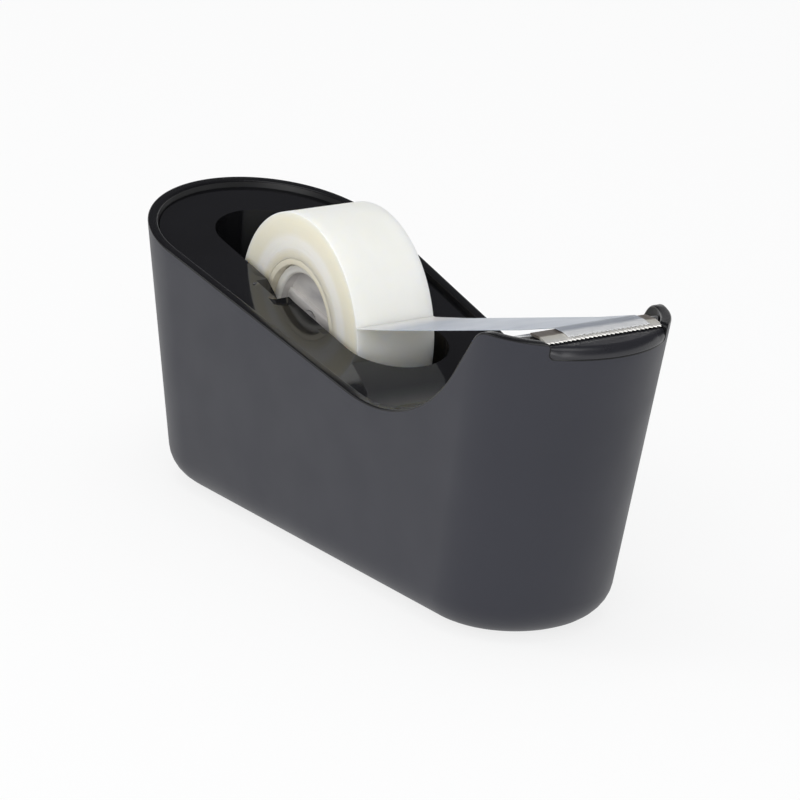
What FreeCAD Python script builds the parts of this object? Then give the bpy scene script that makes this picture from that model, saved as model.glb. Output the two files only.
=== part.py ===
import FreeCAD, Part
import math
import os
import Sketcher

# Weighted desk tape dispenser.  Millimetres, +Z up, +X towards the cutter, Y across.
# Origin: middle of the overall footprint, on the plane the pad rests on.

doc = FreeCAD.newDocument("tape_dispenser")

# ------------------------------------------------------------------ driving dimensions
SIZES = [
    # outside form: two round ends joined by straight sides, wider towards the top
    ("shell_base_z", 0.5),        # underside of the shell, the pad stands this far proud
    ("plan_top_z", 68.0),         # height at which the top outline is measured
    ("base_back_x", -70.5),
    ("base_front_x", 63.9),
    ("base_back_r", 23.2),
    ("base_front_r", 19.9),
    ("top_back_x", -79.7),
    ("top_front_x", 80.1),
    ("top_back_r", 28.0),
    ("top_front_r", 21.6),
    ("base_edge_r", 7.2),
    ("wall", 2.2),
    # side view of the rim: long descent, dip, steep rise, small hump, gentle fall
    ("rim_ref_x", -80.0),
    ("rim_ref_z", 61.0),
    ("descent_deg", 11.2),
    ("dip_back", 40.7),           # corner of the dip, behind the front end
    ("rise_deg", 53.2),
    ("hump_back", 18.6),          # corner of the hump, behind the front end
    ("front_fall_deg", 5.0),
    ("dip_r", 36.7),
    ("hump_r", 2.5),
    # deck inlay
    ("deck_drop", 1.3),           # deck surface below the rim
    ("deck_t", 2.0),
    ("deck_gap", 0.25),           # clearance between deck and shell wall
    ("ramp_deg", 16.0),
    ("nose_back", 12.7),          # blade seat, behind the front end
    ("nose_front", 7.2),
    ("nose_drop", 0.98),          # blade seat below the rim
    # roll well
    ("well_side_room", 2.4),      # room round the roll, on each side of it
    ("well_back_room", 16.3),
    ("well_front_room", 10.7),
    ("well_below_room", 4.7),
    ("well_wall", 1.8),
    # tape roll and hub
    ("tape_wide", 19.0),
    ("roll_r", 24.0),
    ("core_bore_r", 12.7),
    ("core_t", 1.3),
    ("axle_x", -24.4),
    ("axle_z", 42.7),
    ("axle_d", 5.0),
    ("axle_seat", 2.5),           # each end of the axle reaches this far past the well
    ("run_gap", 0.05),            # radial running clearance on the axle
    ("hub_gap", 0.1),             # hub to core bore
    ("hub_recess", 3.0),          # hub faces behind the faces of the roll
    ("hub_t", 1.5),
    ("cap_t", 1.4),
    # axle channels, leaning back so that the pull of the tape keeps the axle seated
    ("lean_deg", 28.0),
    ("channel_gap", 0.1),         # channel flank to axle
    ("axle_end_gap", 0.3),
    ("lead_in", 0.8),             # depth below the deck at which the rear flank opens out
    ("lead_deg", 25.0),
    ("cheek_t", 1.7),
    ("cheek_back", 11.0),         # cheek behind, before and below the axle line
    ("cheek_front", 6.0),
    ("cheek_below", 7.0),
    # cutter
    ("blade_half", 13.3),
    ("blade_t", 0.6),
    ("blade_inset", 0.2),         # back edge of the blade to the back of its seat
    ("blade_past_nose", 0.1),
    ("tooth_reach", 2.3),         # tooth tips before the front of the seat
    ("tooth_drop", 0.4),
    ("tooth_pitch", 1.0),
    ("tooth_deep", 0.8),
    ("leg_wide", 3.0),
    ("leg_long", 4.0),
    ("leg_off_y", 8.0),
    ("leg_in", 1.6),              # legs before the back of the seat
    ("leg_gap", 0.1),
    ("leg_end_gap", 0.3),
    ("mouth_side_gap", 0.5),      # opening in the shell in front of the teeth
    ("mouth_drop", 2.8),          # its lip below the blade seat
    ("mouth_floor_gap", 0.3),
    # tape between roll and cutter
    ("strip_t", 0.25),
    ("strip_gap", 0.3),
    ("strip_start_gap", 0.1),
    ("strip_end_back", 0.4),      # cut end of the tape behind the tooth tips
    ("peel_rise", 5.7),           # the tape leaves the roll this far above the axle
    # bottom, weights, fixings
    ("floor_z", 5.0),             # top of the shell's bottom flange
    ("plate_inset", 8.2),
    ("plate_top_z", 2.8),
    ("plate_gap", 0.25),
    ("ledge_w", 3.0),
    ("pad_t", 1.2),
    ("pad_rim", 2.0),
    ("pad_gap", 0.2),
    ("lug_d", 8.0),
    ("boss_d", 7.0),
    ("screw_d", 2.9),
    ("screw_head_d", 5.4),
    ("screw_head_t", 1.1),
    ("screw_head_gap", 0.05),
    ("screw_len", 9.3),           # pad side of the plate recess to the tip
    ("pilot_spare", 0.8),
    ("screw_play", 0.2),
    ("thread_gap", 0.03),
    ("rear_screw_in_x", 20.5),    # screws, in from the ends of the base
    ("rear_screw_in_y", 5.0),     # screws, in from the side of the plate
    ("front_screw_in_x", 17.4),
    ("front_screw_in_y", 4.5),
    ("weight_gap", 2.0),          # weights to bosses and to the walls beside them
    ("weight_well_gap", 1.9),
    ("weight_headroom", 0.7),
    ("cradle_side_gap", 0.4),
    ("cradle_front_in", 6.3),     # end of the cradle behind the front of the well
    ("cradle_headroom", 3.7),     # cradle to the axle cheeks above it
    ("cradle_gap", 0.4),
    ("cradle_chamfer", 3.0),
]
sizes = doc.addObject("Spreadsheet::Sheet", "sizes")
for row, (alias, value) in enumerate(SIZES, start=1):
    sizes.set("A%d" % row, alias)
    sizes.set("B%d" % row, str(value))
    sizes.setAlias("B%d" % row, alias)
doc.recompute()


class Val:
    """A length that knows both its number and the sheet expression it comes from."""

    def __init__(self, number, text):
        self.n = float(number)
        self.e = text

    def _other(self, o):
        if isinstance(o, Val):
            return o
        return Val(o, repr(float(o)))

    def __add__(self, o):
        o = self._other(o)
        return Val(self.n + o.n, "(%s + %s)" % (self.e, o.e))

    def __sub__(self, o):
        o = self._other(o)
        return Val(self.n - o.n, "(%s - %s)" % (self.e, o.e))

    def __mul__(self, o):
        o = self._other(o)
        return Val(self.n * o.n, "(%s * %s)" % (self.e, o.e))

    def __truediv__(self, o):
        o = self._other(o)
        return Val(self.n / o.n, "(%s / %s)" % (self.e, o.e))

    def __radd__(self, o):
        return self._other(o) + self

    def __rsub__(self, o):
        return self._other(o) - self

    def __rmul__(self, o):
        return self._other(o) * self

    def __neg__(self):
        return Val(-self.n, "(-1 * %s)" % self.e)


def S(alias):
    return Val(float(sizes.get(alias)), "sizes.%s" % alias)


def tan_deg(a):
    return Val(math.tan(math.radians(a.n)), "tan(%s * 1 deg)" % a.e)


def sin_deg(a):
    return Val(math.sin(math.radians(a.n)), "sin(%s * 1 deg)" % a.e)


def cos_deg(a):
    return Val(math.cos(math.radians(a.n)), "cos(%s * 1 deg)" % a.e)


# ------------------------------------------------------------------ sketch helpers
def new_body(name):
    body = doc.addObject("PartDesign::Body", name)
    body.Label = name
    return body


def origin_item(body, role):
    """One of the body's own origin planes or axes."""
    for feature in body.Origin.OriginFeatures:
        if feature.Role == role:
            return feature
    raise RuntimeError("no origin item " + role)


def new_sketch(body, name, role="XY_Plane", offset=None):
    """A sketch on one of the body's own origin planes, lifted along the plane's normal."""
    sk = body.newObject("Sketcher::SketchObject", name)
    sk.AttachmentSupport = (origin_item(body, role), [""])
    sk.MapMode = "FlatFace"
    if offset is not None:
        sk.AttachmentOffset = FreeCAD.Placement(
            FreeCAD.Vector(0, 0, offset.n), FreeCAD.Rotation())
        sk.setExpression("AttachmentOffset.Base.z", offset.e)
    return sk


def fix(sk, kind, args, val, name):
    """One dimension of a sketch, tied to the sheet."""
    index = sk.addConstraint(Sketcher.Constraint(kind, *args, val.n))
    sk.renameConstraint(index, name)
    sk.setExpression("Constraints." + name, val.e)


def pin(sk, geo, pos, x, y, name):
    fix(sk, "DistanceX", (-1, 1, geo, pos), x, name + "_x")
    fix(sk, "DistanceY", (-1, 1, geo, pos), y, name + "_y")


def vec(x, y):
    return FreeCAD.Vector(x, y, 0)


def draw_loop(sk, corners, tag="v"):
    """Closed outline.  corners: (x, y) or (x, y, radius, turn) where turn is the sine-cosine
    data of the rounded corner: (ux0, uy0, ux1, uy1, half_tangent)."""
    points = []
    for c in corners:
        if len(c) == 2:
            points.append([(c[0], c[1])])
        else:
            x, y, r, (ux0, uy0, ux1, uy1, half) = c
            reach = r * half
            points.append([(x - reach * ux0, y - reach * uy0),
                           (x + reach * ux1, y + reach * uy1), r])
    count = len(points)
    lines = []
    for i in range(count):
        a = points[i][1] if len(points[i]) == 3 else points[i][0]
        nxt = points[(i + 1) % count]
        b = nxt[0]
        g = sk.addGeometry(Part.LineSegment(vec(a[0].n, a[1].n), vec(b[0].n, b[1].n)), False)
        lines.append((g, a, b))
    for i in range(count):
        g_in = lines[i - 1][0]
        g_out = lines[i][0]
        if len(points[i]) == 3:
            p, q, r = points[i]
            d0 = vec(lines[i - 1][2][0].n - lines[i - 1][1][0].n,
                     lines[i - 1][2][1].n - lines[i - 1][1][1].n)
            d1 = vec(lines[i][2][0].n - lines[i][1][0].n,
                     lines[i][2][1].n - lines[i][1][1].n)
            side = 1.0 if d0.cross(d1).z > 0 else -1.0
            d0.normalize()
            cx = p[0].n - side * d0.y * r.n
            cy = p[1].n + side * d0.x * r.n
            a0 = math.atan2(p[1].n - cy, p[0].n - cx)
            a1 = math.atan2(q[1].n - cy, q[0].n - cx)
            first, last = (a0, a1) if side > 0 else (a1, a0)
            circle = Part.Circle(vec(cx, cy), FreeCAD.Vector(0, 0, 1), r.n)
            arc = sk.addGeometry(Part.ArcOfCircle(circle, first, last), False)
            start, end = (1, 2) if side > 0 else (2, 1)
            sk.addConstraint(Sketcher.Constraint("Coincident", g_in, 2, arc, start))
            sk.addConstraint(Sketcher.Constraint("Coincident", arc, end, g_out, 1))
            pin(sk, g_in, 2, p[0], p[1], "%s%da" % (tag, i))
            pin(sk, g_out, 1, q[0], q[1], "%s%db" % (tag, i))
            fix(sk, "Radius", (arc,), r, "%s%dr" % (tag, i))
        else:
            sk.addConstraint(Sketcher.Constraint("Coincident", g_in, 2, g_out, 1))
            pin(sk, g_out, 1, points[i][0][0], points[i][0][1], "%s%d" % (tag, i))


def draw_box(sk, x0, x1, y0, y1, tag="b"):
    draw_loop(sk, [(x0, y0), (x1, y0), (x1, y1), (x0, y1)], tag)


def draw_circle(sk, x, y, radius, name):
    g = sk.addGeometry(Part.Circle(vec(x.n, y.n), FreeCAD.Vector(0, 0, 1), radius.n), False)
    pin(sk, g, 3, x, y, name)
    fix(sk, "Radius", (g,), radius, name + "_r")


def draw_capsule(sk, cb, rb, cf, rf):
    """Two arcs centred on the long axis, joined by tangent straight sides."""
    lean = math.asin((rb.n - rf.n) / (cf.n - cb.n))
    up = math.pi / 2 - lean
    z = FreeCAD.Vector(0, 0, 1)
    back = sk.addGeometry(Part.ArcOfCircle(Part.Circle(vec(cb.n, 0), z, rb.n),
                                           up, 2 * math.pi - up), False)
    front = sk.addGeometry(Part.ArcOfCircle(Part.Circle(vec(cf.n, 0), z, rf.n),
                                            -up, up), False)
    bx, by = cb.n + rb.n * math.cos(up), rb.n * math.sin(up)
    fx, fy = cf.n + rf.n * math.cos(up), rf.n * math.sin(up)
    low = sk.addGeometry(Part.LineSegment(vec(bx, -by), vec(fx, -fy)), False)
    top = sk.addGeometry(Part.LineSegment(vec(fx, fy), vec(bx, by)), False)
    for g0, p0, g1, p1 in ((back, 2, low, 1), (low, 2, front, 1),
                           (front, 2, top, 1), (top, 2, back, 1)):
        sk.addConstraint(Sketcher.Constraint("Tangent", g0, p0, g1, p1))
    sk.addConstraint(Sketcher.Constraint("PointOnObject", back, 3, -1))
    sk.addConstraint(Sketcher.Constraint("PointOnObject", front, 3, -1))
    fix(sk, "DistanceX", (-1, 1, back, 3), cb, "back_centre")
    fix(sk, "DistanceX", (-1, 1, front, 3), cf, "front_centre")
    fix(sk, "Radius", (back,), rb, "back_radius")
    fix(sk, "Radius", (front,), rf, "front_radius")


def plan_at(z, inset):
    """Outline of the body at height z, drawn in by inset."""
    share = (z - S("shell_base_z")) / (S("plan_top_z") - S("shell_base_z"))

    def between(low, high):
        return S(low) + (S(high) - S(low)) * share

    rb = between("base_back_r", "top_back_r") - inset
    rf = between("base_front_r", "top_front_r") - inset
    cb = between("base_back_x", "top_back_x") + inset + rb
    cf = between("base_front_x", "top_front_x") - inset - rf
    return cb, rb, cf, rf


def plan_sketch(body, name, z, inset):
    sk = new_sketch(body, name, "XY_Plane", z)
    draw_capsule(sk, *plan_at(z, inset))
    return sk


# ------------------------------------------------------------------ feature helpers
def loft(body, name, kind, sections):
    doc.recompute()
    f = body.newObject("PartDesign::" + kind, name)
    f.Profile = sections[0]
    f.Sections = sections[1:]
    f.Ruled = len(sections) == 2
    doc.recompute()
    return f


def pad(body, name, sk, length, midplane=False, reverse=False):
    doc.recompute()
    f = body.newObject("PartDesign::Pad", name)
    f.Profile = sk
    f.Length = length.n
    f.setExpression("Length", length.e)
    if midplane:
        f.SideType = "Symmetric"
    f.Reversed = reverse
    doc.recompute()
    return f


def pocket(body, name, sk, length=None, midplane=False, reverse=False):
    """Cut; the volume must go down, which proves the direction."""
    doc.recompute()
    before = body.Shape.Volume
    f = body.newObject("PartDesign::Pocket", name)
    f.Profile = sk
    if length is None:
        f.Type = 1
    else:
        f.Length = length.n
        f.setExpression("Length", length.e)
    if midplane:
        f.SideType = "Symmetric"
    f.Reversed = reverse
    doc.recompute()
    if not body.Shape.Volume < before - 1e-6:
        raise RuntimeError("pocket %s removed nothing, sketch %s" % (name, sk.State))
    return f


# ------------------------------------------------------------------ the rim line and its copies
def turn(deg0, deg1):
    """Unit directions before and after a corner, given as slopes in degrees, and the
    tangent of half the turn."""
    c0, s0 = cos_deg(deg0), sin_deg(deg0)
    c1, s1 = cos_deg(deg1), sin_deg(deg1)
    half = tan_deg((deg1 - deg0) / 2.0)
    if half.n < 0:
        half = -half
    return c0, s0, c1, s1, half


zero = Val(0, "0")
# how far the cutting outlines reach past the body
MARGIN = 15.0
# how far a cut runs on past the face it opens
OVERCUT = 0.5

down = -S("descent_deg")
rise = S("rise_deg")
fall = -S("front_fall_deg")
ramp = S("ramp_deg")
far_x = S("top_front_x") + MARGIN
near_x = S("top_back_x") - MARGIN
sky_z = S("plan_top_z") + MARGIN


def descent_z(x, drop):
    """Height of the long descent, or of its copy lying drop below it."""
    return S("rim_ref_z") + (x - S("rim_ref_x")) * tan_deg(down) - drop / cos_deg(down)


def dip_point(drop):
    """Where the descent meets the steep rise, both moved down and inwards by drop."""
    x0 = S("top_front_x") - S("dip_back")
    z0 = descent_z(x0, Val(0, "0"))
    # the two lines moved by drop meet on the line through the original corner
    t0, t1 = tan_deg(down), tan_deg(rise)
    shift0 = drop / cos_deg(down)
    shift1 = drop / cos_deg(rise)
    dx = (shift1 - shift0) / (t1 - t0)
    return x0 + dx, z0 + dx * t0 - shift0


def dip_corner(drop):
    x, z = dip_point(drop)
    return (x, z, S("dip_r") + drop, turn(down, rise))


def hump_point():
    """Where the steep rise meets the gentle fall at the front."""
    xd, zd = dip_point(zero)
    xh = S("top_front_x") - S("hump_back")
    return xh, zd + (xh - xd) * tan_deg(rise)


# places that follow from the sizes
nose_back_x = S("top_front_x") - S("nose_back")
nose_front_x = S("top_front_x") - S("nose_front")
nose_z = hump_point()[1] + (nose_back_x - hump_point()[0]) * tan_deg(fall) - S("nose_drop")
tooth_x = nose_front_x + S("tooth_reach")
blade_back_x = nose_back_x + S("blade_inset")
blade_bend_x = nose_front_x + S("blade_past_nose")
leg_x = nose_back_x + S("leg_in")
mouth_half = S("blade_half") + S("mouth_side_gap")
mouth_z = nose_z - S("mouth_drop")
well_half = S("tape_wide") / 2.0 + S("well_side_room")
well_back_x = S("axle_x") - S("roll_r") - S("well_back_room")
well_front_x = S("axle_x") + S("roll_r") + S("well_front_room")
well_floor_z = S("axle_z") - S("roll_r") - S("well_below_room")
axle_len = (well_half + S("axle_seat")) * 2.0
hub_wide = S("tape_wide") - S("hub_recess") * 2.0
peel_z = S("axle_z") + S("peel_rise")
rear_screw_x = S("base_back_x") + S("rear_screw_in_x")
front_screw_x = S("base_front_x") - S("front_screw_in_x")
rear_screw_y = S("base_back_r") - S("plate_inset") - S("rear_screw_in_y")
front_screw_y = S("base_front_r") - S("plate_inset") - S("front_screw_in_y")


def rim_region():
    """Everything above the rim."""
    xh, zh = hump_point()
    return [(near_x, descent_z(near_x, zero)),
            dip_corner(zero),
            (xh, zh, S("hump_r"), turn(rise, fall)),
            (far_x, zh + (far_x - xh) * tan_deg(fall)),
            (far_x, sky_z), (near_x, sky_z)]


def deck_region():
    """Everything above the deck: descent, dip, rise, ramp, blade seat, floor of the mouth."""
    drop = S("deck_drop")
    xd, zd = dip_point(drop)
    xb, zb = nose_back_x, nose_z
    xr = (zb - zd + xd * tan_deg(rise) - xb * tan_deg(ramp)) / (tan_deg(rise) - tan_deg(ramp))
    zr = zd + (xr - xd) * tan_deg(rise)
    floor = mouth_z - S("mouth_floor_gap")
    return [(near_x, descent_z(near_x, drop)),
            dip_corner(drop),
            (xr, zr, S("hump_r"), turn(rise, ramp)),
            (xb, zb), (nose_front_x, zb), (nose_front_x, floor),
            (far_x, floor), (far_x, sky_z), (near_x, sky_z)]


def deck_underside_region():
    """Everything below the deck plate."""
    drop = S("deck_drop") + S("deck_t")
    xd, zd = dip_point(drop)
    ceiling = mouth_z - S("mouth_floor_gap") - S("deck_t")
    xc = xd + (ceiling - zd) / tan_deg(rise)
    return [(near_x, -sky_z), (far_x, -sky_z), (far_x, ceiling), (xc, ceiling),
            (xd, zd, S("dip_r") + drop, turn(rise + 180.0, down + 180.0)),
            (near_x, descent_z(near_x, drop))]


# ------------------------------------------------------------------ outer shell
ROUNDING_STEPS = 5


def make_shell():
    body = new_body("outer_shell")
    base, top = S("shell_base_z"), S("plan_top_z")
    edge = S("base_edge_r")
    rounding = []
    for k in range(ROUNDING_STEPS + 1):
        lift = Val(90.0 * k / ROUNDING_STEPS, "%r" % (90.0 * k / ROUNDING_STEPS))
        z = base + edge * (1.0 - cos_deg(lift))
        rounding.append(plan_sketch(body, "rounding_plan_%d" % k, z,
                                    edge * (1.0 - sin_deg(lift))))
    loft(body, "base_rounding", "AdditiveLoft", rounding)
    loft(body, "shell_form", "AdditiveLoft",
         [plan_sketch(body, "shell_low_plan", base + edge, zero),
          plan_sketch(body, "shell_top_plan", top, zero)])
    sk = new_sketch(body, "rim_line", "XZ_Plane")
    draw_loop(sk, rim_region())
    pocket(body, "rim_cut", sk, None, midplane=True)
    loft(body, "cavity", "SubtractiveLoft",
         [plan_sketch(body, "cavity_floor_plan", S("floor_z"), S("wall")),
          plan_sketch(body, "cavity_top_plan", top, S("wall"))])
    sk = plan_sketch(body, "plate_seat_plan", base, S("plate_inset"))
    pocket(body, "plate_seat", sk, S("plate_top_z") - base, reverse=True)
    sk = plan_sketch(body, "ledge_plan", base, S("plate_inset") + S("ledge_w"))
    pocket(body, "bottom_window", sk, S("floor_z") - base + OVERCUT, reverse=True)
    sk = new_sketch(body, "lug_plan", "XY_Plane", S("plate_top_z"))
    for i, (x, y) in enumerate(screw_points()):
        draw_circle(sk, x, y, S("lug_d") / 2.0, "lug%d" % i)
    pad(body, "screw_lugs", sk, S("floor_z") - S("plate_top_z"))
    sk = new_sketch(body, "lug_hole_plan", "XY_Plane", S("plate_top_z"))
    for i, (x, y) in enumerate(screw_points()):
        draw_circle(sk, x, y, S("screw_d") / 2.0 + S("screw_play"), "hole%d" % i)
    pocket(body, "lug_holes", sk, S("floor_z") - S("plate_top_z") + OVERCUT, reverse=True)
    sk = new_sketch(body, "mouth_plan", "XY_Plane", mouth_z)
    draw_box(sk, nose_back_x, far_x, -mouth_half, mouth_half)
    pocket(body, "cutter_mouth", sk, sky_z - mouth_z, reverse=True)
    return body


def screw_points():
    return [(rear_screw_x, rear_screw_y), (rear_screw_x, -rear_screw_y),
            (front_screw_x, front_screw_y), (front_screw_x, -front_screw_y)]


# ------------------------------------------------------------------ deck with roll well
def well_capsule(sk, grow):
    """Outline of the roll well, a slot with round ends, drawn out by grow."""
    r = well_half + grow
    cb = well_back_x + well_half
    cf = well_front_x - well_half
    z = FreeCAD.Vector(0, 0, 1)
    up = math.pi / 2
    back = sk.addGeometry(Part.ArcOfCircle(Part.Circle(vec(cb.n, 0), z, r.n), up, 3 * up), False)
    front = sk.addGeometry(Part.ArcOfCircle(Part.Circle(vec(cf.n, 0), z, r.n), -up, up), False)
    low = sk.addGeometry(Part.LineSegment(vec(cb.n, -r.n), vec(cf.n, -r.n)), False)
    top = sk.addGeometry(Part.LineSegment(vec(cf.n, r.n), vec(cb.n, r.n)), False)
    for g0, p0, g1, p1 in ((back, 2, low, 1), (low, 2, front, 1),
                           (front, 2, top, 1), (top, 2, back, 1)):
        sk.addConstraint(Sketcher.Constraint("Tangent", g0, p0, g1, p1))
    sk.addConstraint(Sketcher.Constraint("PointOnObject", back, 3, -1))
    sk.addConstraint(Sketcher.Constraint("PointOnObject", front, 3, -1))
    fix(sk, "DistanceX", (-1, 1, back, 3), cb, "back_centre")
    fix(sk, "DistanceX", (-1, 1, front, 3), cf, "front_centre")
    fix(sk, "Radius", (back,), r, "radius")


def channel_outline():
    """U-shaped channel leaning back, with a lead-in on its rear flank."""
    lean = S("lean_deg")
    c, s = cos_deg(lean), sin_deg(lean)
    w = S("axle_d") / 2.0 + S("channel_gap")
    ax, az = S("axle_x"), S("axle_z")
    # distances along the channel: to where the lead-in starts, and well past the deck
    lead = descent_z(ax, S("deck_drop")) - az - S("lead_in")
    beyond = S("axle_d") * 6.0

    def at(along, across):
        return ax - s * along + c * across, az + c * along + s * across

    return at, w, lead, beyond


def make_deck():
    body = new_body("top_deck")
    inset = S("wall") + S("deck_gap")
    start = mouth_z / 2.0
    loft(body, "deck_form", "AdditiveLoft",
         [plan_sketch(body, "deck_low_plan", start, inset),
          plan_sketch(body, "deck_top_plan", S("plan_top_z"), inset)])
    sk = new_sketch(body, "underside_line", "XZ_Plane")
    draw_loop(sk, deck_underside_region())
    pocket(body, "underside_cut", sk, None, midplane=True)
    # roll well, axle cheeks and screw bosses, all built up past the deck and trimmed after
    well_low = well_floor_z - S("well_wall")
    sk = new_sketch(body, "well_outer_plan", "XY_Plane", well_low)
    well_capsule(sk, S("well_wall"))
    pad(body, "well_walls", sk, S("plan_top_z") - well_low)
    reach = axle_len / 2.0 + S("axle_end_gap") + S("cheek_t")
    cheek_low = S("axle_z") - S("cheek_below")
    sk = new_sketch(body, "cheek_plan", "XY_Plane", cheek_low)
    draw_box(sk, S("axle_x") - S("cheek_back"), S("axle_x") + S("cheek_front"), -reach, reach)
    pad(body, "axle_cheeks", sk, S("plan_top_z") - cheek_low)
    sk = new_sketch(body, "boss_plan", "XY_Plane", S("floor_z"))
    for i, (x, y) in enumerate(screw_points()):
        draw_circle(sk, x, y, S("boss_d") / 2.0, "boss%d" % i)
    pad(body, "screw_bosses", sk, S("plan_top_z") - S("floor_z"))
    sk = new_sketch(body, "deck_line", "XZ_Plane")
    draw_loop(sk, deck_region())
    pocket(body, "deck_cut", sk, None, midplane=True)
    sk = new_sketch(body, "well_plan", "XY_Plane", well_floor_z)
    well_capsule(sk, zero)
    pocket(body, "well_hollow", sk, sky_z - well_floor_z, reverse=True)
    # axle channels
    at, w, lead, beyond = channel_outline()
    sk = new_sketch(body, "channel_line", "XZ_Plane")
    draw_channel(sk, at, w, lead, beyond)
    pocket(body, "axle_channels", sk, (reach - S("cheek_t")) * 2.0, midplane=True)
    # slots for the blade legs
    sk = new_sketch(body, "leg_slot_plan", "XY_Plane", nose_z)
    gap = S("leg_gap")
    for i, sign in enumerate((1.0, -1.0)):
        y = S("leg_off_y") * sign
        half = S("leg_wide") / 2.0 + gap
        draw_box(sk, leg_x - gap, leg_x + S("blade_t") + gap, y - half, y + half,
                 "slot%d" % i)
    pocket(body, "leg_slots", sk, S("leg_long") + S("leg_end_gap"))
    # pilot holes for the base screws
    sk = new_sketch(body, "pilot_plan", "XY_Plane", S("floor_z"))
    for i, (x, y) in enumerate(screw_points()):
        draw_circle(sk, x, y, S("screw_d") / 2.0 + S("thread_gap"), "pilot%d" % i)
    depth = S("pad_t") + S("screw_len") - S("floor_z") + S("pilot_spare")
    pocket(body, "pilot_holes", sk, depth, reverse=True)
    return body


def draw_channel(sk, at, w, lead, beyond):
    """Round seat, two parallel flanks, and a rear flank that opens out near the deck."""
    z = FreeCAD.Vector(0, 0, 1)
    ax, az = at(zero, zero)
    front_low = at(zero, w)
    back_low = at(zero, -w)
    front_high = at(beyond, w)
    back_knee = at(lead, -w)
    back_high = at(beyond, -w - (beyond - lead) * tan_deg(S("lead_deg")))
    a0 = math.atan2(back_low[1].n - az.n, back_low[0].n - ax.n)
    seat = sk.addGeometry(Part.ArcOfCircle(Part.Circle(vec(ax.n, az.n), z, w.n),
                                           a0, a0 + math.pi), False)
    pts = [front_low, front_high, back_high, back_knee, back_low]
    lines = []
    for a, b in zip(pts[:-1], pts[1:]):
        lines.append(sk.addGeometry(
            Part.LineSegment(vec(a[0].n, a[1].n), vec(b[0].n, b[1].n)), False))
    sk.addConstraint(Sketcher.Constraint("Coincident", seat, 2, lines[0], 1))
    for g0, g1 in zip(lines[:-1], lines[1:]):
        sk.addConstraint(Sketcher.Constraint("Coincident", g0, 2, g1, 1))
    sk.addConstraint(Sketcher.Constraint("Coincident", lines[-1], 2, seat, 1))
    for i, p in enumerate(pts[:-1]):
        pin(sk, lines[i], 1, p[0], p[1], "c%d" % i)
    pin(sk, lines[-1], 2, back_low[0], back_low[1], "c9")
    fix(sk, "DistanceY", (-1, 1, seat, 3), az, "seat_centre")


# ------------------------------------------------------------------ cutter blade
def make_blade():
    body = new_body("cutter_blade")
    t = S("blade_t")
    low, high = nose_z, nose_z + t
    xb, xm, xt = blade_back_x, blade_bend_x, tooth_x
    drop = S("tooth_drop")
    sk = new_sketch(body, "blade_side", "XZ_Plane")
    # the sheet thins to half its thickness at the tooth tips
    draw_loop(sk, [(xb, low), (xm, low), (xt, low - drop), (xt, low - drop + t / 2.0),
                   (xm, high), (xb, high)])
    pad(body, "blade_sheet", sk, S("blade_half") * 2.0, midplane=True)
    sk = new_sketch(body, "leg_plan", "XY_Plane", low)
    for i, sign in enumerate((1.0, -1.0)):
        y = S("leg_off_y") * sign
        half = S("leg_wide") / 2.0
        draw_box(sk, leg_x, leg_x + t, y - half, y + half, "leg%d" % i)
    pad(body, "blade_legs", sk, S("leg_long"), reverse=True)
    pitch = S("tooth_pitch")
    sk = new_sketch(body, "notch_plan", "XY_Plane", high)
    # one V between two teeth; the outline runs past the tips, so it is drawn wider there
    y0 = -S("blade_half") + pitch * 0.3
    past = S("tooth_deep") * 1.25
    half = pitch / 2.0 * (past + S("tooth_deep")) / S("tooth_deep")
    draw_loop(sk, [(xt + past, y0 - half), (xt + past, y0 + half), (xt - S("tooth_deep"), y0)])
    notch = pocket(body, "tooth_notch", sk, (drop + t) * 2.0, midplane=True)
    row = body.newObject("PartDesign::LinearPattern", "tooth_row")
    row.Originals = [notch]
    row.Direction = (origin_item(body, "Y_Axis"), [""])
    count = int(round(2.0 * S("blade_half").n / pitch.n))
    row.Occurrences = count
    row.Length = pitch.n * (count - 1)
    row.setExpression("Length", (pitch * float(count - 1)).e)
    body.Tip = row
    doc.recompute()
    return body


# ------------------------------------------------------------------ hub, axle, core, roll
def ring_body(name, outer, inner, wide):
    """A plain ring round the axle line."""
    body = new_body(name)
    sk = new_sketch(body, name + "_circles", "XZ_Plane")
    draw_circle(sk, S("axle_x"), S("axle_z"), outer, "outer")
    if inner is not None:
        draw_circle(sk, S("axle_x"), S("axle_z"), inner, "inner")
    pad(body, name + "_ring", sk, wide, midplane=True)
    return body


def make_drum():
    outer = S("core_bore_r") - S("hub_gap")
    wide = hub_wide - S("cap_t") * 2.0
    bore = S("axle_d") / 2.0 + S("run_gap")
    body = ring_body("hub_drum", outer, outer - S("hub_t"), wide)
    sk = new_sketch(body, "hub_web_circles", "XZ_Plane")
    draw_circle(sk, S("axle_x"), S("axle_z"), outer - S("hub_t") / 2.0, "outer")
    draw_circle(sk, S("axle_x"), S("axle_z"), bore, "inner")
    pad(body, "hub_web", sk, S("hub_t"), midplane=True)
    sk = new_sketch(body, "hub_sleeve_circles", "XZ_Plane")
    draw_circle(sk, S("axle_x"), S("axle_z"), bore + S("hub_t"), "outer")
    draw_circle(sk, S("axle_x"), S("axle_z"), bore, "inner")
    pad(body, "hub_sleeve", sk, wide, midplane=True)
    return body


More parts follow.
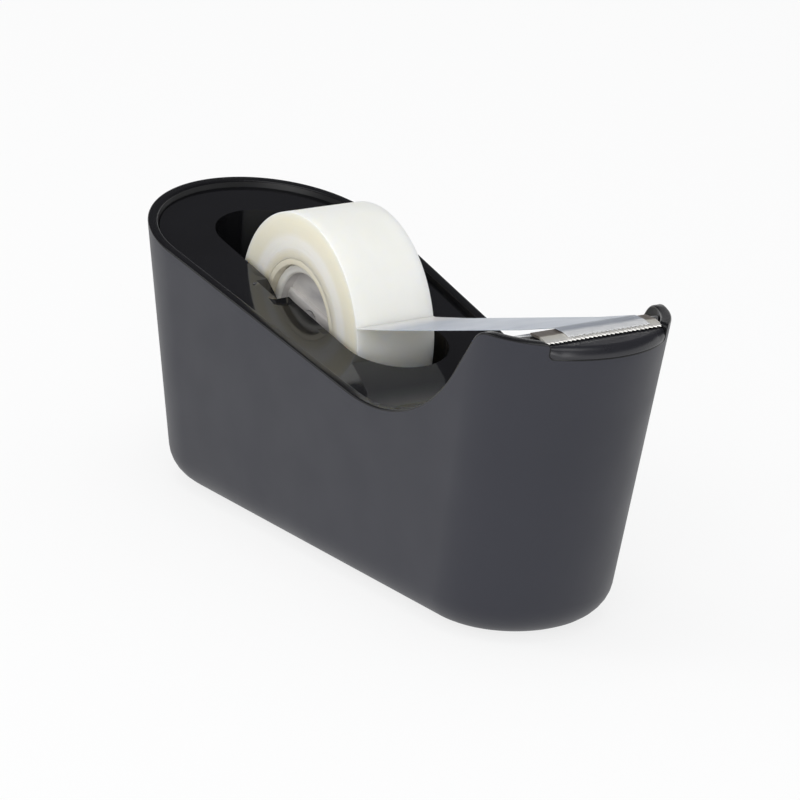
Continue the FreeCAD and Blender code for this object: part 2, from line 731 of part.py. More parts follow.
def make_cap(name, sign):
    """End disc with a spigot that fits inside the drum."""
    body = new_body(name)
    outer = S("core_bore_r") - S("hub_gap")
    bore = S("axle_d") / 2.0 + S("run_gap")
    face = (hub_wide / 2.0 - S("cap_t")) * sign
    # the plane's normal points to -Y
    sk = new_sketch(body, name + "_disc", "XZ_Plane", -face)
    draw_circle(sk, S("axle_x"), S("axle_z"), outer, "outer")
    draw_circle(sk, S("axle_x"), S("axle_z"), bore, "inner")
    pad(body, name + "_plate", sk, S("cap_t"), reverse=sign > 0)
    fit = S("hub_gap") / 2.0
    sk = new_sketch(body, name + "_spigot_plan", "XZ_Plane", -face)
    draw_circle(sk, S("axle_x"), S("axle_z"), outer - S("hub_t") - fit, "outer")
    draw_circle(sk, S("axle_x"), S("axle_z"), outer - S("hub_t") * 1.8 - fit, "inner")
    pad(body, name + "_spigot", sk, S("cap_t"), reverse=sign < 0)
    return body


def make_axle():
    return ring_body("hub_axle", S("axle_d") / 2.0, None, axle_len)


# ------------------------------------------------------------------ tape strip
def make_strip():
    body = new_body("tape_strip")
    t = S("strip_t")
    gap = S("strip_gap")
    over = nose_z + S("blade_t") + gap
    z0 = peel_z
    rise_to_roll = z0 - S("axle_z")
    r = S("roll_r") + gap
    # the roll's surface at the height where the tape leaves it
    half = Val(math.sqrt(r.n ** 2 - rise_to_roll.n ** 2),
               "sqrt(%s * %s - %s * %s)" % (r.e, r.e, rise_to_roll.e, rise_to_roll.e))
    x0 = S("axle_x") + half + S("strip_start_gap")
    xb, xm = blade_back_x, blade_bend_x
    xt = tooth_x - S("strip_end_back")
    # the bent end follows the slope of the blade's front
    drop = S("tooth_drop") * (xt - xm) / (tooth_x - xm)
    sk = new_sketch(body, "strip_side", "XZ_Plane")
    draw_loop(sk, [(x0, z0), (xb, over), (xm, over), (xt, over - drop),
                   (xt, over - drop + t), (xm, over + t), (xb, over + t), (x0, z0 + t)])
    pad(body, "strip_sheet", sk, S("tape_wide"), midplane=True)
    return body


# ------------------------------------------------------------------ weights
def room_beside(x):
    """Half width of the cavity over its floor, at x."""
    cb, rb, cf, rf = plan_at(S("floor_z"), S("wall"))
    lean = (rb - rf) / (cf - cb)
    flat = Val(math.sqrt(1.0 - lean.n ** 2), "sqrt(1 - %s * %s)" % (lean.e, lean.e))
    return (rb - (x - cb) * lean) / flat


def make_weight_front():
    """Block between the well and the front screws, under the lowest part of the deck."""
    body = new_body("ballast_front")
    back = well_front_x + S("well_wall") + S("weight_well_gap")
    front = front_screw_x - S("boss_d") / 2.0 - S("weight_gap")
    half = room_beside(front) - S("weight_gap")
    top = dip_point(S("deck_drop") + S("deck_t"))[1] - S("weight_headroom")
    sk = new_sketch(body, "weight_plan", "XY_Plane", S("floor_z"))
    draw_box(sk, back, front, -half, half)
    pad(body, "weight_block", sk, top - S("floor_z"))
    return body


def make_weight_rear():
    """Cast cradle: a floor under the roll well and a wall along each side of it."""
    body = new_body("ballast_cradle")
    low = S("floor_z")
    top = S("axle_z") - S("cheek_below") - S("cradle_headroom")
    back = rear_screw_x + S("boss_d") / 2.0 + S("weight_gap")
    front = well_front_x - S("cradle_front_in")
    half, ch = room_beside(front) - S("cradle_side_gap"), S("cradle_chamfer")
    inner = well_half + S("well_wall") + S("cradle_gap")
    shelf = well_floor_z - S("well_wall") - S("cradle_gap")
    sk = new_sketch(body, "cradle_end", "YZ_Plane", back)
    draw_loop(sk, [(-half + ch, low), (half - ch, low), (half, low + ch), (half, top),
                   (inner, top), (inner, shelf), (-inner, shelf), (-inner, top),
                   (-half, top), (-half, low + ch)])
    pad(body, "cradle_bar", sk, front - back)
    return body


# ------------------------------------------------------------------ base plate, pad, screws
def make_plate():
    body = new_body("base_plate")
    base = S("shell_base_z")
    sk = plan_sketch(body, "plate_plan", base, S("plate_inset") + S("plate_gap"))
    pad(body, "plate_sheet", sk, S("plate_top_z") - base)
    sk = plan_sketch(body, "pad_recess_plan", base,
                     S("plate_inset") + S("plate_gap") + S("pad_rim"))
    pocket(body, "pad_recess", sk, S("pad_t") - base, reverse=True)
    sk = new_sketch(body, "screw_hole_plan", "XY_Plane", base)
    for i, (x, y) in enumerate(screw_points()):
        draw_circle(sk, x, y, S("screw_d") / 2.0 + S("screw_play"), "hole%d" % i)
    pocket(body, "screw_holes", sk, S("plate_top_z"), reverse=True)
    # straight-sided seats for the cheese heads
    sk = new_sketch(body, "head_seat_plan", "XY_Plane", base)
    for i, (x, y) in enumerate(screw_points()):
        draw_circle(sk, x, y, S("screw_head_d") / 2.0 + S("screw_play"), "head%d" % i)
    pocket(body, "head_seats", sk, S("pad_t") - base + S("screw_head_t"), reverse=True)
    return body


def make_pad():
    body = new_body("anti_slip_pad")
    base = S("shell_base_z")
    inset = S("plate_inset") + S("plate_gap") + S("pad_rim") + S("pad_gap")
    sk = new_sketch(body, "pad_plan", "XY_Plane")
    draw_capsule(sk, *plan_at(base, inset))
    pad(body, "pad_sheet", sk, S("pad_t"))
    return body


def make_screw(index, x, y):
    """Self-tapping screw with a flat cheese head and a cross recess."""
    body = new_body("base_screw_%d" % index)
    head_low = S("pad_t") + S("screw_head_gap")
    head_top = S("pad_t") + S("screw_head_t")
    sk = new_sketch(body, "head_plan_%d" % index, "XY_Plane", head_low)
    draw_circle(sk, x, y, S("screw_head_d") / 2.0, "head")
    pad(body, "head_%d" % index, sk, head_top - head_low)
    sk = new_sketch(body, "shank_plan_%d" % index, "XY_Plane", head_top)
    draw_circle(sk, x, y, S("screw_d") / 2.0, "shank")
    pad(body, "shank_%d" % index, sk, S("pad_t") + S("screw_len") - head_top)
    sk = new_sketch(body, "drive_plan_%d" % index, "XY_Plane", head_low)
    # half length and half width of the cross
    arm, slim = S("screw_head_d") * 0.3, S("screw_head_d") * 0.07
    draw_loop(sk, [(x - arm, y - slim), (x - slim, y - slim), (x - slim, y - arm),
                   (x + slim, y - arm), (x + slim, y - slim), (x + arm, y - slim),
                   (x + arm, y + slim), (x + slim, y + slim), (x + slim, y + arm),
                   (x - slim, y + arm), (x - slim, y + slim), (x - arm, y + slim)])
    pocket(body, "drive_%d" % index, sk, S("screw_head_t") * 0.55, reverse=True)
    return body


# ------------------------------------------------------------------ build and write
shell = make_shell()
deck = make_deck()
blade = make_blade()
drum = make_drum()
cap_near = make_cap("hub_cap_near", -1.0)
cap_far = make_cap("hub_cap_far", 1.0)
axle = make_axle()
core_outer = S("core_bore_r") + S("core_t")
core = ring_body("tape_core", core_outer, S("core_bore_r"), S("tape_wide"))
roll = ring_body("tape_roll", S("roll_r"), core_outer, S("tape_wide"))
strip = make_strip()
weight_front = make_weight_front()
weight_rear = make_weight_rear()
plate = make_plate()
foot = make_pad()
screws = [make_screw(i + 1, x, y) for i, (x, y) in enumerate(screw_points())]
screw_group = doc.addObject("Part::Compound", "base_screws")
screw_group.Label = "base_screws"
screw_group.Links = screws
doc.recompute()

for obj in doc.Objects:
    if "Invalid" in obj.State or "Error" in obj.State:
        raise RuntimeError("%s did not build: %s" % (obj.Name, obj.State))

nodes = [shell, deck, blade, drum, cap_near, cap_far, axle, core, roll, strip,
         weight_front, weight_rear, plate, foot, screw_group]
os.makedirs("parts", exist_ok=True)
for obj in nodes:
    shape = obj.Shape
    if shape.isNull() or not shape.isValid():
        raise RuntimeError("%s has a bad shape" % obj.Label)
    shape.exportStep("parts/%s.step" % obj.Label)
    print("%-16s solids %d  volume %9.1f mm3" % (obj.Label, len(shape.Solids), shape.Volume))
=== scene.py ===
# %% [markdown]
# A weighted desk tape dispenser, made as a lesson.
# The dispenser is a heavy plastic housing with a gloss deck let into its top.  A roll of
# matte tape sits in a well in the deck, on a hub and a steel pin, and a toothed blade
# stands at the raised nose.  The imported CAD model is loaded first.  It gives the frame and
# every moving body.  Each piece made here is drawn in the same frame, in millimetres, so it
# is put straight where it belongs.

# %% Load the frame
import bpy
import bmesh
import math
import random
from mathutils import Matrix, Vector


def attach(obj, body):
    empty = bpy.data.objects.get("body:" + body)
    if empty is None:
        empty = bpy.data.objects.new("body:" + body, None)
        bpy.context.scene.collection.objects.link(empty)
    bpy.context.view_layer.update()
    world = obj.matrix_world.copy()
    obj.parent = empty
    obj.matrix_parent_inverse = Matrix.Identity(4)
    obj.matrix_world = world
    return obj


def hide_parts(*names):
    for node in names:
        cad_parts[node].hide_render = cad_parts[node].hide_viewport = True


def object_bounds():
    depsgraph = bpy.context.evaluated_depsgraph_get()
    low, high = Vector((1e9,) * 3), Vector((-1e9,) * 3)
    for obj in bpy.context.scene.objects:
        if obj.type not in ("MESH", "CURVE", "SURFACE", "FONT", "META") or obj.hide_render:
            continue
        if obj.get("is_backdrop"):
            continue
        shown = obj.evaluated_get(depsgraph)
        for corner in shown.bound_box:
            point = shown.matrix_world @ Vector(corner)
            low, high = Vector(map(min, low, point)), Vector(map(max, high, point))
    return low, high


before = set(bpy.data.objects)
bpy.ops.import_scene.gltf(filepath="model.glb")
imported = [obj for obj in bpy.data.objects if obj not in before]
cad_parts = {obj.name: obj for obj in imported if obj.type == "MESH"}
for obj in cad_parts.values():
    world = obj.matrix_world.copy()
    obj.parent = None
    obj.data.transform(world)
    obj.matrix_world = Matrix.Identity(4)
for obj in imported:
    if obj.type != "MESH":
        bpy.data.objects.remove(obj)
cad_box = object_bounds()
MM = 0.001
print("CAD box:", [[round(c, 4) for c in corner] for corner in cad_box])

# %% [markdown]
# The camera.  A product like this is usually shown from above the cutter end with a long
# lens, which keeps the straight sides nearly parallel.  The position and the three turns
# are written as a photographer would note them, and the camera's own axes are worked out
# from them.

# %% Camera
YAW, PITCH, ROLL = 0.995423, 0.313906, 0.030425
STAND = (0.645063, -0.417274, 0.280927)


def add_object(name, data):
    made = bpy.data.objects.new(name, data)
    bpy.context.scene.collection.objects.link(made)
    return made


def aim(yaw, pitch, roll):
    """The camera's right, up and back directions as a rotation matrix."""
    look = Vector((-math.sin(yaw) * math.cos(pitch), math.cos(yaw) * math.cos(pitch),
                   -math.sin(pitch)))
    right = Vector((math.cos(yaw), math.sin(yaw), 0.0))
    up = right.cross(look)
    tilted_right = right * math.cos(roll) + up * math.sin(roll)
    tilted_up = up * math.cos(roll) - right * math.sin(roll)
    return Matrix((tilted_right, tilted_up, -look)).transposed()


lens = bpy.data.cameras.new("view")
lens.lens = 174.1
lens.sensor_width = 36.0
lens.clip_start = 0.05
camera = add_object("view", lens)
camera.matrix_world = Matrix.Translation(STAND) @ aim(YAW, PITCH, ROLL).to_4x4()
bpy.context.scene.camera = camera
bpy.context.scene.view_settings.view_transform = "Standard"
print("camera at", [round(c, 3) for c in camera.location])

# %% [markdown]
# Finishes.  Every surface here is a Principled shader whose roughness, colour and bump come
# from noise, because moulded plastic, steel and film all show a little grain and
# unevenness.  The helpers below add one such detail each, in the piece's own coordinates,
# so that the grain stays on the piece when it moves.  Most of a noise lies between 0.3 and
# 0.7, so that is the part of it that is stretched over two shades or two roughnesses.

# %% Helpers for finishes
NOISE_LOW, NOISE_HIGH = 0.3, 0.7


def new_finish(name, colour, roughness, **sockets):
    """A Principled finish.  sockets gives other inputs by name, with _ for a space."""
    finish = bpy.data.materials.new(name)
    finish.use_nodes = True
    shader = finish.node_tree.nodes["Principled BSDF"]
    shader.inputs["Base Color"].default_value = (*colour, 1.0)
    shader.inputs["Roughness"].default_value = roughness
    for key, value in sockets.items():
        shader.inputs[key.replace("_", " ")].default_value = value
    return finish


def add_node(owner, kind, **settings):
    """A node in the tree of a finish or of the world."""
    node = owner.node_tree.nodes.new(kind)
    for key, value in settings.items():
        setattr(node, key, value)
    return node


def join(owner, out_socket, in_socket):
    owner.node_tree.links.new(out_socket, in_socket)


def to_shader(finish, value, socket):
    join(finish, value, finish.node_tree.nodes["Principled BSDF"].inputs[socket])


def own_place(finish, scale, centre=(0.0, 0.0, 0.0)):
    """The point on the piece, measured from centre and scaled along each axis."""
    place = add_node(finish, "ShaderNodeTexCoord")
    shift = add_node(finish, "ShaderNodeMapping", vector_type="POINT")
    shift.inputs["Scale"].default_value = scale
    shift.inputs["Location"].default_value = [-c * s for c, s in zip(centre, scale)]
    join(finish, place.outputs["Object"], shift.inputs["Vector"])
    return shift.outputs["Vector"]


def along_x(finish):
    """How far along the dispenser a point lies, in metres."""
    split = add_node(finish, "ShaderNodeSeparateXYZ")
    join(finish, own_place(finish, (1.0, 1.0, 1.0)), split.inputs["Vector"])
    return split.outputs["X"]


def even(size):
    """A noise scale whose speckles are about size metres across, the same all ways."""
    return (1.0 / size,) * 3


def noise(finish, scale, detail=3.0):
    speckle = add_node(finish, "ShaderNodeTexNoise")
    speckle.inputs["Scale"].default_value = 1.0
    speckle.inputs["Detail"].default_value = detail
    join(finish, own_place(finish, scale), speckle.inputs["Vector"])
    return speckle.outputs["Fac"]


def spread(finish, value, first, last, low=0.0, high=1.0):
    """Stretches value from first..last to low..high."""
    stretch = add_node(finish, "ShaderNodeMapRange")
    for key, number in zip(("From Min", "From Max", "To Min", "To Max"), (first, last, low, high)):
        stretch.inputs[key].default_value = number
    join(finish, value, stretch.inputs["Value"])
    return stretch.outputs["Result"]


def uneven(finish, value, wave, amount):
    """value made ragged by adding amount times a noise."""
    ragged = add_node(finish, "ShaderNodeMath", operation="MULTIPLY_ADD")
    ragged.inputs[1].default_value = amount
    join(finish, wave, ragged.inputs[0])
    join(finish, value, ragged.inputs[2])
    return ragged.outputs[0]


def colour_at(owner, value, stops, between_stops="LINEAR"):
    """The colour that value has on a ramp of (place, colour) stops."""
    ramp = add_node(owner, "ShaderNodeValToRGB")
    ramp.color_ramp.interpolation = between_stops
    for end, (place, colour) in zip(ramp.color_ramp.elements, (stops[0], stops[-1])):
        end.position = place
        end.color = (*colour, 1.0)
    for place, colour in stops[1:-1]:
        ramp.color_ramp.elements.new(place).color = (*colour, 1.0)
    join(owner, value, ramp.inputs["Fac"])
    return ramp.outputs["Color"]


def to_colours(finish, value, stops):
    to_shader(finish, colour_at(finish, value, stops), "Base Color")


def to_bump(finish, value, strength, height):
    bump = add_node(finish, "ShaderNodeBump")
    bump.inputs["Strength"].default_value = strength
    bump.inputs["Distance"].default_value = height
    join(finish, value, bump.inputs["Height"])
    to_shader(finish, bump.outputs["Normal"], "Normal")


def mottle(finish, scale, dark, light):
    """A colour that drifts between two shades."""
    to_colours(finish, noise(finish, scale), [(NOISE_LOW, dark), (NOISE_HIGH, light)])


def shine(finish, scale, low, high):
    """A roughness that drifts between low and high."""
    patches = spread(finish, noise(finish, scale), NOISE_LOW, NOISE_HIGH, low, high)
    to_shader(finish, patches, "Roughness")


def grain(finish, scale, strength, height, detail=3.0):
    """A fine relief, height metres deep."""
    to_bump(finish, noise(finish, scale, detail), strength, height)


# %% [markdown]
# The studio: a plain white sweep lit softly from above.  The floor is a lit white surface,
# so it keeps the shadow, and four fifths of what the eye and reflections see of it is plain
# white of strength 1.  For them the world is white low down, where a studio's paper curves
# up, and dark overhead, which is what makes gloss black plastic look black.  For all other
# rays the world is the even glow of a white tent, which fills the shadows, and four large
# lamps give the object its shape.

# %% Floor, world and lamps
FLOOR_REACH, FLOOR_GLOW, TENT_LIGHT = 4.0, 0.8, 0.60
HORIZON_HEIGHT, DARK_HEIGHT = 0.17, 0.36


def looked_at(owner):
    """1 for rays of the eye, of reflections and through clear things, 0 for all others."""
    rays = add_node(owner, "ShaderNodeLightPath")
    total = rays.outputs["Is Camera Ray"]
    for kind in ("Is Glossy Ray", "Is Transmission Ray"):
        plus = add_node(owner, "ShaderNodeMath", operation="ADD", use_clamp=True)
        join(owner, total, plus.inputs[0])
        join(owner, rays.outputs[kind], plus.inputs[1])
        total = plus.outputs[0]
    return total


def blend_to(owner, end, share, first, second):
    """Mixes two shaders by share and puts them on the surface of the end node."""
    blend = add_node(owner, "ShaderNodeMixShader")
    for socket, source in zip(blend.inputs, (share, first, second)):
        join(owner, source, socket)
    join(owner, blend.outputs[0], owner.node_tree.nodes[end].inputs["Surface"])


sheet = bpy.data.meshes.new("studio_floor")
sheet.from_pydata([(x * FLOOR_REACH, y * FLOOR_REACH, 0)
                   for x, y in ((-1, -1), (1, -1), (1, 1), (-1, 1))], [], [(0, 1, 2, 3)])
floor = add_object("studio_floor", sheet)
floor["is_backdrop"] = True
paper = new_finish("studio_paper", (0.93, 0.93, 0.93), 0.9)
mottle(paper, even(0.4), (0.92, 0.92, 0.92), (0.94, 0.94, 0.94))
glow = add_node(paper, "ShaderNodeEmission")
share = add_node(paper, "ShaderNodeMath", operation="MULTIPLY")
share.inputs[1].default_value = FLOOR_GLOW
join(paper, looked_at(paper), share.inputs[0])
blend_to(paper, "Material Output", share.outputs[0],
         paper.node_tree.nodes["Principled BSDF"].outputs[0], glow.outputs[0])
floor.data.materials.append(paper)

world = bpy.data.worlds.new("studio_world")
bpy.context.scene.world = world
world.use_nodes = True
direction = add_node(world, "ShaderNodeTexCoord")
split = add_node(world, "ShaderNodeSeparateXYZ")
join(world, direction.outputs["Generated"], split.inputs["Vector"])
sky = colour_at(world, split.outputs["Z"], [(HORIZON_HEIGHT, (1.0, 1.0, 1.0)),
                                            (DARK_HEIGHT, (0.09, 0.09, 0.10))], "EASE")
backdrop = world.node_tree.nodes["Background"]
join(world, sky, backdrop.inputs["Color"])
tent = add_node(world, "ShaderNodeBackground")
tent.inputs["Color"].default_value = (0.98, 0.99, 1.0, 1.0)
tent.inputs["Strength"].default_value = TENT_LIGHT
blend_to(world, "World Output", looked_at(world), tent.outputs[0], backdrop.outputs[0])

# each lamp's place, the height it is aimed at over the middle of the floor, size and watts
LAMPS = {"overhead": ((0.30, -0.20, 2.60), 0.03, 1.8, 13.5),
         "front_fill": ((1.35, -0.80, 1.30), 0.04, 1.0, 2.5),
         "side_fill": ((-0.95, -1.35, 1.10), 0.04, 1.0, 5.5),
         "low_fill": ((1.30, -1.25, 0.62), 0.04, 1.7, 15.5)}
for name, (place, aim_z, size, watts) in LAMPS.items():
    lamp = bpy.data.lights.new(name, "AREA")
    lamp.shape = "DISK"
    lamp.size = size
    lamp.energy = watts
    holder = add_object(name, lamp)
    holder.location = place
    look = Vector((0.0, 0.0, aim_z)) - Vector(place)
    holder.rotation_euler = look.to_track_quat("-Z", "Y").to_euler()
print(len(LAMPS), "soft lamps, floor", 2 * FLOOR_REACH, "m wide")

# %% [markdown]
# Mesh making.  The pieces are built from patches of four-sided faces.  A patch is a list of
# rows of points, and neighbouring patches are welded where their edges meet.  Points are
# written in millimetres, as on the drawing, and turned into metres at the end.

# %% Helpers for meshes
class Skin:
    """Collects patches of faces in millimetres.  spot is the material slot of a patch."""

    def __init__(self):
        self.points = []
        self.faces = []
        self.spots = []

    def patch(self, rows, spot=0, closed=False):
        start, wide = len(self.points), len(rows[0])
        for row in rows:
            self.points.extend(row)
        for i in range(len(rows) - 1):
            for j in range(wide if closed else wide - 1):
                k = (j + 1) % wide
                low, high = start + i * wide, start + (i + 1) * wide
                self.faces.append((low + j, low + k, high + k, high + j))
                self.spots.append(spot)

    def lid(self, row):
        """One flat face that closes a loop of points."""
        start = len(self.points)
        self.points.extend(row)
        self.faces.append(tuple(range(start, start + len(row))))
        self.spots.append(0)

    def mirrored(self):
        """Adds the same faces on the far side of the long plane."""
        shift = len(self.points)
        self.points += [(x, -y, z) for x, y, z in self.points]
        self.faces += [tuple(shift + i for i in reversed(face)) for face in self.faces]
        self.spots += self.spots


def mix(a, b, share):
    return tuple(p + (q - p) * share for p, q in zip(a, b))


def ramp_up(value, first, last):
    """0 up to first, 1 from last on, and rising evenly between the two."""
    return min(max((value - first) / (last - first), 0.0), 1.0)


def steps(first, last, count):
    """Numbers at even steps from first to last."""
    return [first + (last - first) * i / count for i in range(count + 1)]


def between(first, last, count):
    """Rows of points that run straight from one line of points to another."""
    return [[mix(p, q, i / count) for p, q in zip(first, last)] for i in range(count + 1)]


WELD, SLIVER = 2e-6, 1e-7


def make_piece(name, skin, finishes, sharp=38.0, facing=None):
    """Welds a skin into a mesh object.  facing is a direction the largest side looks in."""
    work = bmesh.new()
    spots = [work.verts.new([c * MM for c in p]) for p in skin.points]
    for face, spot in zip(skin.faces, skin.spots):
        made = work.faces.new([spots[i] for i in face])
        made.material_index = spot
        made.smooth = True
    bmesh.ops.remove_doubles(work, verts=work.verts, dist=WELD)
    bmesh.ops.dissolve_degenerate(work, edges=work.edges, dist=SLIVER)
    bmesh.ops.recalc_face_normals(work, faces=work.faces)
    if facing is not None:
        total = sum((f.normal * f.calc_area() for f in work.faces), Vector())
        if total.dot(Vector(facing)) < 0:
            bmesh.ops.reverse_faces(work, faces=work.faces)
    mesh = bpy.data.meshes.new(name)
    work.to_mesh(mesh)
    loose = sum(1 for edge in work.edges if not edge.is_manifold)
    work.free()
    mesh.set_sharp_from_angle(angle=math.radians(sharp))
    for finish in finishes:
        mesh.materials.append(finish)
    piece = add_object(name, mesh)
    print(name, len(mesh.polygons), "faces,", loose, "open edges")
    return piece


def make_bar(name, sections, finishes, sharp):
    """A piece from closed sections along its length, with a flat lid on each end."""
    skin = Skin()
    skin.patch(sections, closed=True)
    skin.lid(sections[0])
    skin.lid(sections[-1])
    return make_piece(name, skin, finishes, sharp)


def rounded_line(corners):
    """Straight runs joined by arcs.  corners are (x, z, radius)."""
    path = [Vector(corners[0][:2])]
    for before, corner, after in zip(corners, corners[1:], corners[2:]):
        point = Vector(corner[:2])
        way_in = (point - Vector(before[:2])).normalized()
        way_out = (Vector(after[:2]) - point).normalized()
        turned = way_in.angle_signed(way_out)
        radius = corner[2]
        start = point - way_in * radius * math.tan(abs(turned) / 2)
        side = 1.0 if turned < 0 else -1.0
        centre = start + Vector((-way_in.y, way_in.x)) * radius * side
        count = max(3, int(math.degrees(abs(turned)) / 2.0))
        for k in range(count + 1):
            spin = Matrix.Rotation(side * abs(turned) * k / count, 2)
            path.append(centre + spin @ (start - centre))
    path.append(Vector(corners[-1][:2]))
    return [(p.x, p.y) for p in path]


def height_on(path, x):
    for (x0, z0), (x1, z1) in zip(path, path[1:]):
        if x0 <= x <= x1 and x1 > x0:
            return z0 + (z1 - z0) * (x - x0) / (x1 - x0)
    return path[-1][1] if x > path[-1][0] else path[0][1]


# %% [markdown]
# The outside form.  Seen from above, the housing is two round ends joined by straight
# sides, and it widens towards the top.  Seen from the side, its rim falls gently, dips,
# climbs steeply to a small hump and falls away to the nose.  These two drawings are all
# that the shell and the deck need.  The side drawing runs past both ends of the housing,
# and its slopes are in degrees.

# %% The outline from above and the rim from the side
BASE_Z, TOP_Z = 0.5, 68.0
BACK_R, BACK_TOP_R = 23.2, 28.0
BACK_X, BACK_TOP_X = -70.5, -79.7
FRONT_R, FRONT_TOP_R = 19.9, 21.6
FRONT_X, FRONT_TOP_X = 63.9, 80.0


def plan(z, inset=0.0):
    """Back and front circle of the outline at height z: (centre, radius, centre, radius)."""
    share = (z - BASE_Z) / (TOP_Z - BASE_Z)
    back_r = BACK_R + (BACK_TOP_R - BACK_R) * share - inset
    front_r = FRONT_R + (FRONT_TOP_R - FRONT_R) * share - inset
    back = BACK_X + (BACK_TOP_X - BACK_X) * share + inset + back_r
    front = FRONT_X + (FRONT_TOP_X - FRONT_X) * share - inset - front_r
    return back, back_r, front, front_r


def half_width(x, z, inset):
    back, back_r, front, front_r = plan(z, inset)
    lean = (back_r - front_r) / (front - back)
    if x < back + back_r * lean:
        return math.sqrt(max(back_r ** 2 - (x - back) ** 2, 0.0))
    if x > front + front_r * lean:
        return math.sqrt(max(front_r ** 2 - (x - front) ** 2, 0.0))
    return (back_r - (x - back) * lean) / math.sqrt(1 - lean ** 2)


def slope(degrees):
    return math.tan(math.radians(degrees))


DESCENT, RISE, FALL, RAMP = -11.2, 53.2, -1.5, 16.0
RIM_BACK_X, RIM_BACK_Z = -80.0, 61.0
DIP_X, DIP_R = 39.4, 36.7
HUMP_X, HUMP_R = 61.2, 5.0
PAST_END = 100.0


def dip_corner(drop):
    """Where the descent and the rise meet, when both lie drop below the rim."""
    x, z = DIP_X, RIM_BACK_Z + (DIP_X - RIM_BACK_X) * slope(DESCENT)
    low = drop / math.cos(math.radians(DESCENT))
    steep = drop / math.cos(math.radians(RISE))
    shift = (steep - low) / (slope(RISE) - slope(DESCENT))
    return x + shift, z + shift * slope(DESCENT) - low


def side_line(drop, nose):
    dip_x, dip_z = dip_corner(drop)
    start = (-PAST_END, dip_z + (-PAST_END - dip_x) * slope(DESCENT), 0)
    return rounded_line([start, (dip_x, dip_z, DIP_R + drop)] + nose)


rim_dip = dip_corner(0.0)
hump_z = rim_dip[1] + (HUMP_X - rim_dip[0]) * slope(RISE)
rim_line = side_line(0.0, [(HUMP_X, hump_z, HUMP_R),
                           (PAST_END, hump_z + (PAST_END - HUMP_X) * slope(FALL), 0)])
print("rim: lowest %.1f mm, hump %.1f mm" % (min(z for x, z in rim_line), hump_z))

# %% [markdown]
# The outer shell is one moulding with walls 2.2 mm thick, rounded underneath, with a soft
# edge all round the rim and a mouth cut out of its front for the blade.  It could be a
# solid with cuts and bevels, but the rim climbs, dips and turns the corners of the mouth,
# so here one cross-section is carried along the rim instead.  Every row of the skin is a
# closed loop round the shell, from the underside, up the wall, over the rim and down inside.

# %% Points on the shell's wall
WALL = 2.2
MOUTH_HALF, MOUTH_Z = 13.8, 63.2
MOUTH_TOP_R, MOUTH_LOW_R = 1.0, 0.8
BACK_SHARE, SIDE_SHARE = 0.24, 0.81
SETTLE = 25


def on_wall(t, z, inset, sign):
    """Point t of the way from back to front along one side of the outline."""
    back, back_r, front, front_r = plan(z, inset)
    open_angle = math.pi / 2 - math.asin((back_r - front_r) / (front - back))
    if t <= BACK_SHARE:
        a = math.pi + (open_angle - math.pi) * t / BACK_SHARE
        return (back + back_r * math.cos(a), sign * back_r * math.sin(a), z)
    if t >= SIDE_SHARE:
        a = open_angle * (1.0 - t) / (1.0 - SIDE_SHARE)
        return (front + front_r * math.cos(a), sign * front_r * math.sin(a), z)
    share = (t - BACK_SHARE) / (SIDE_SHARE - BACK_SHARE)
    c, s = math.cos(open_angle), math.sin(open_angle)
    return mix((back + back_r * c, sign * back_r * s, z),
               (front + front_r * c, sign * front_r * s, z), share)


def rim_height(t, inset):
    """The rim's height over point t, found by repeating, as the wall leans."""
    z = hump_z
    for _ in range(SETTLE):
        z = height_on(rim_line, on_wall(t, z, inset, 1)[0])
    return z


def side_samples(inset):
    """The edge of one side as (t, z), over the rim and down round the mouth."""
    front_r, reach = plan(MOUTH_Z + MOUTH_LOW_R, inset)[3], math.pi / 2 / (1.0 - SIDE_SHARE)
    per_mm = 1.0 / (front_r * reach)
    corner = 1.0 - math.asin(MOUTH_HALF / front_r) / reach
    up, low = MOUTH_TOP_R, MOUTH_LOW_R
    start = corner - up * per_mm
    ts = (steps(0.0, BACK_SHARE, 40)[:-1] + steps(BACK_SHARE, SIDE_SHARE, 130)[:-1]
          + steps(SIDE_SHARE, start, 44))
    edge = [(t, rim_height(t, inset)) for t in ts]
    top = edge[-1][1]
    for a in steps(0.0, math.pi / 2, 6)[1:]:
        edge.append((start + up * per_mm * math.sin(a), top - up + up * math.cos(a)))
    edge += [(corner, z) for z in steps(top - up, MOUTH_Z + low, 4)[1:]]
    for a in steps(0.0, math.pi / 2, 5)[1:]:
        edge.append((corner + low * per_mm * (1 - math.cos(a)),
                     MOUTH_Z + low - low * math.sin(a)))
    edge += [(t, MOUTH_Z) for t in steps(edge[-1][0], 1.0, 16)[1:]]
    return edge, per_mm, corner


# %% [markdown]
# The columns of the wall must not pile up where the edge drops straight down beside the
# mouth, so their feet are spread out there.  The edge's own direction gives the way into
# the material, which the rounding follows.

# %% Rows of one side
SOFT, BESIDE_MOUTH, FAN = 0.45, 2.0, 10.0


def downward(edge, per_mm):
    """Unit direction in the wall, (t, z) in millimetres, from the edge into the material."""
    ways = []
    for i in range(len(edge)):
        a, b = edge[max(i - 1, 0)], edge[min(i + 1, len(edge) - 1)]
        along = Vector(((b[0] - a[0]) / per_mm, b[1] - a[1])).normalized()
        ways.append(Vector((along.y, -along.x)))
    return ways


def spread_feet(edge, per_mm, corner):
    """t at the bottom of each column, fanned out under the sides of the mouth."""
    drop = [0.0]
    for a, b in zip(edge, edge[1:]):
        run = (b[0] - a[0]) / per_mm
        near = abs(b[0] - corner) / per_mm < BESIDE_MOUTH
        drop.append(drop[-1] + (math.hypot(run, b[1] - a[1]) - run if near else 0.0))
    wide = FAN * per_mm
    return [t + (fallen - drop[-1] * ramp_up(t, corner - wide, corner + wide)) * per_mm
            for (t, z), fallen in zip(edge, drop)]


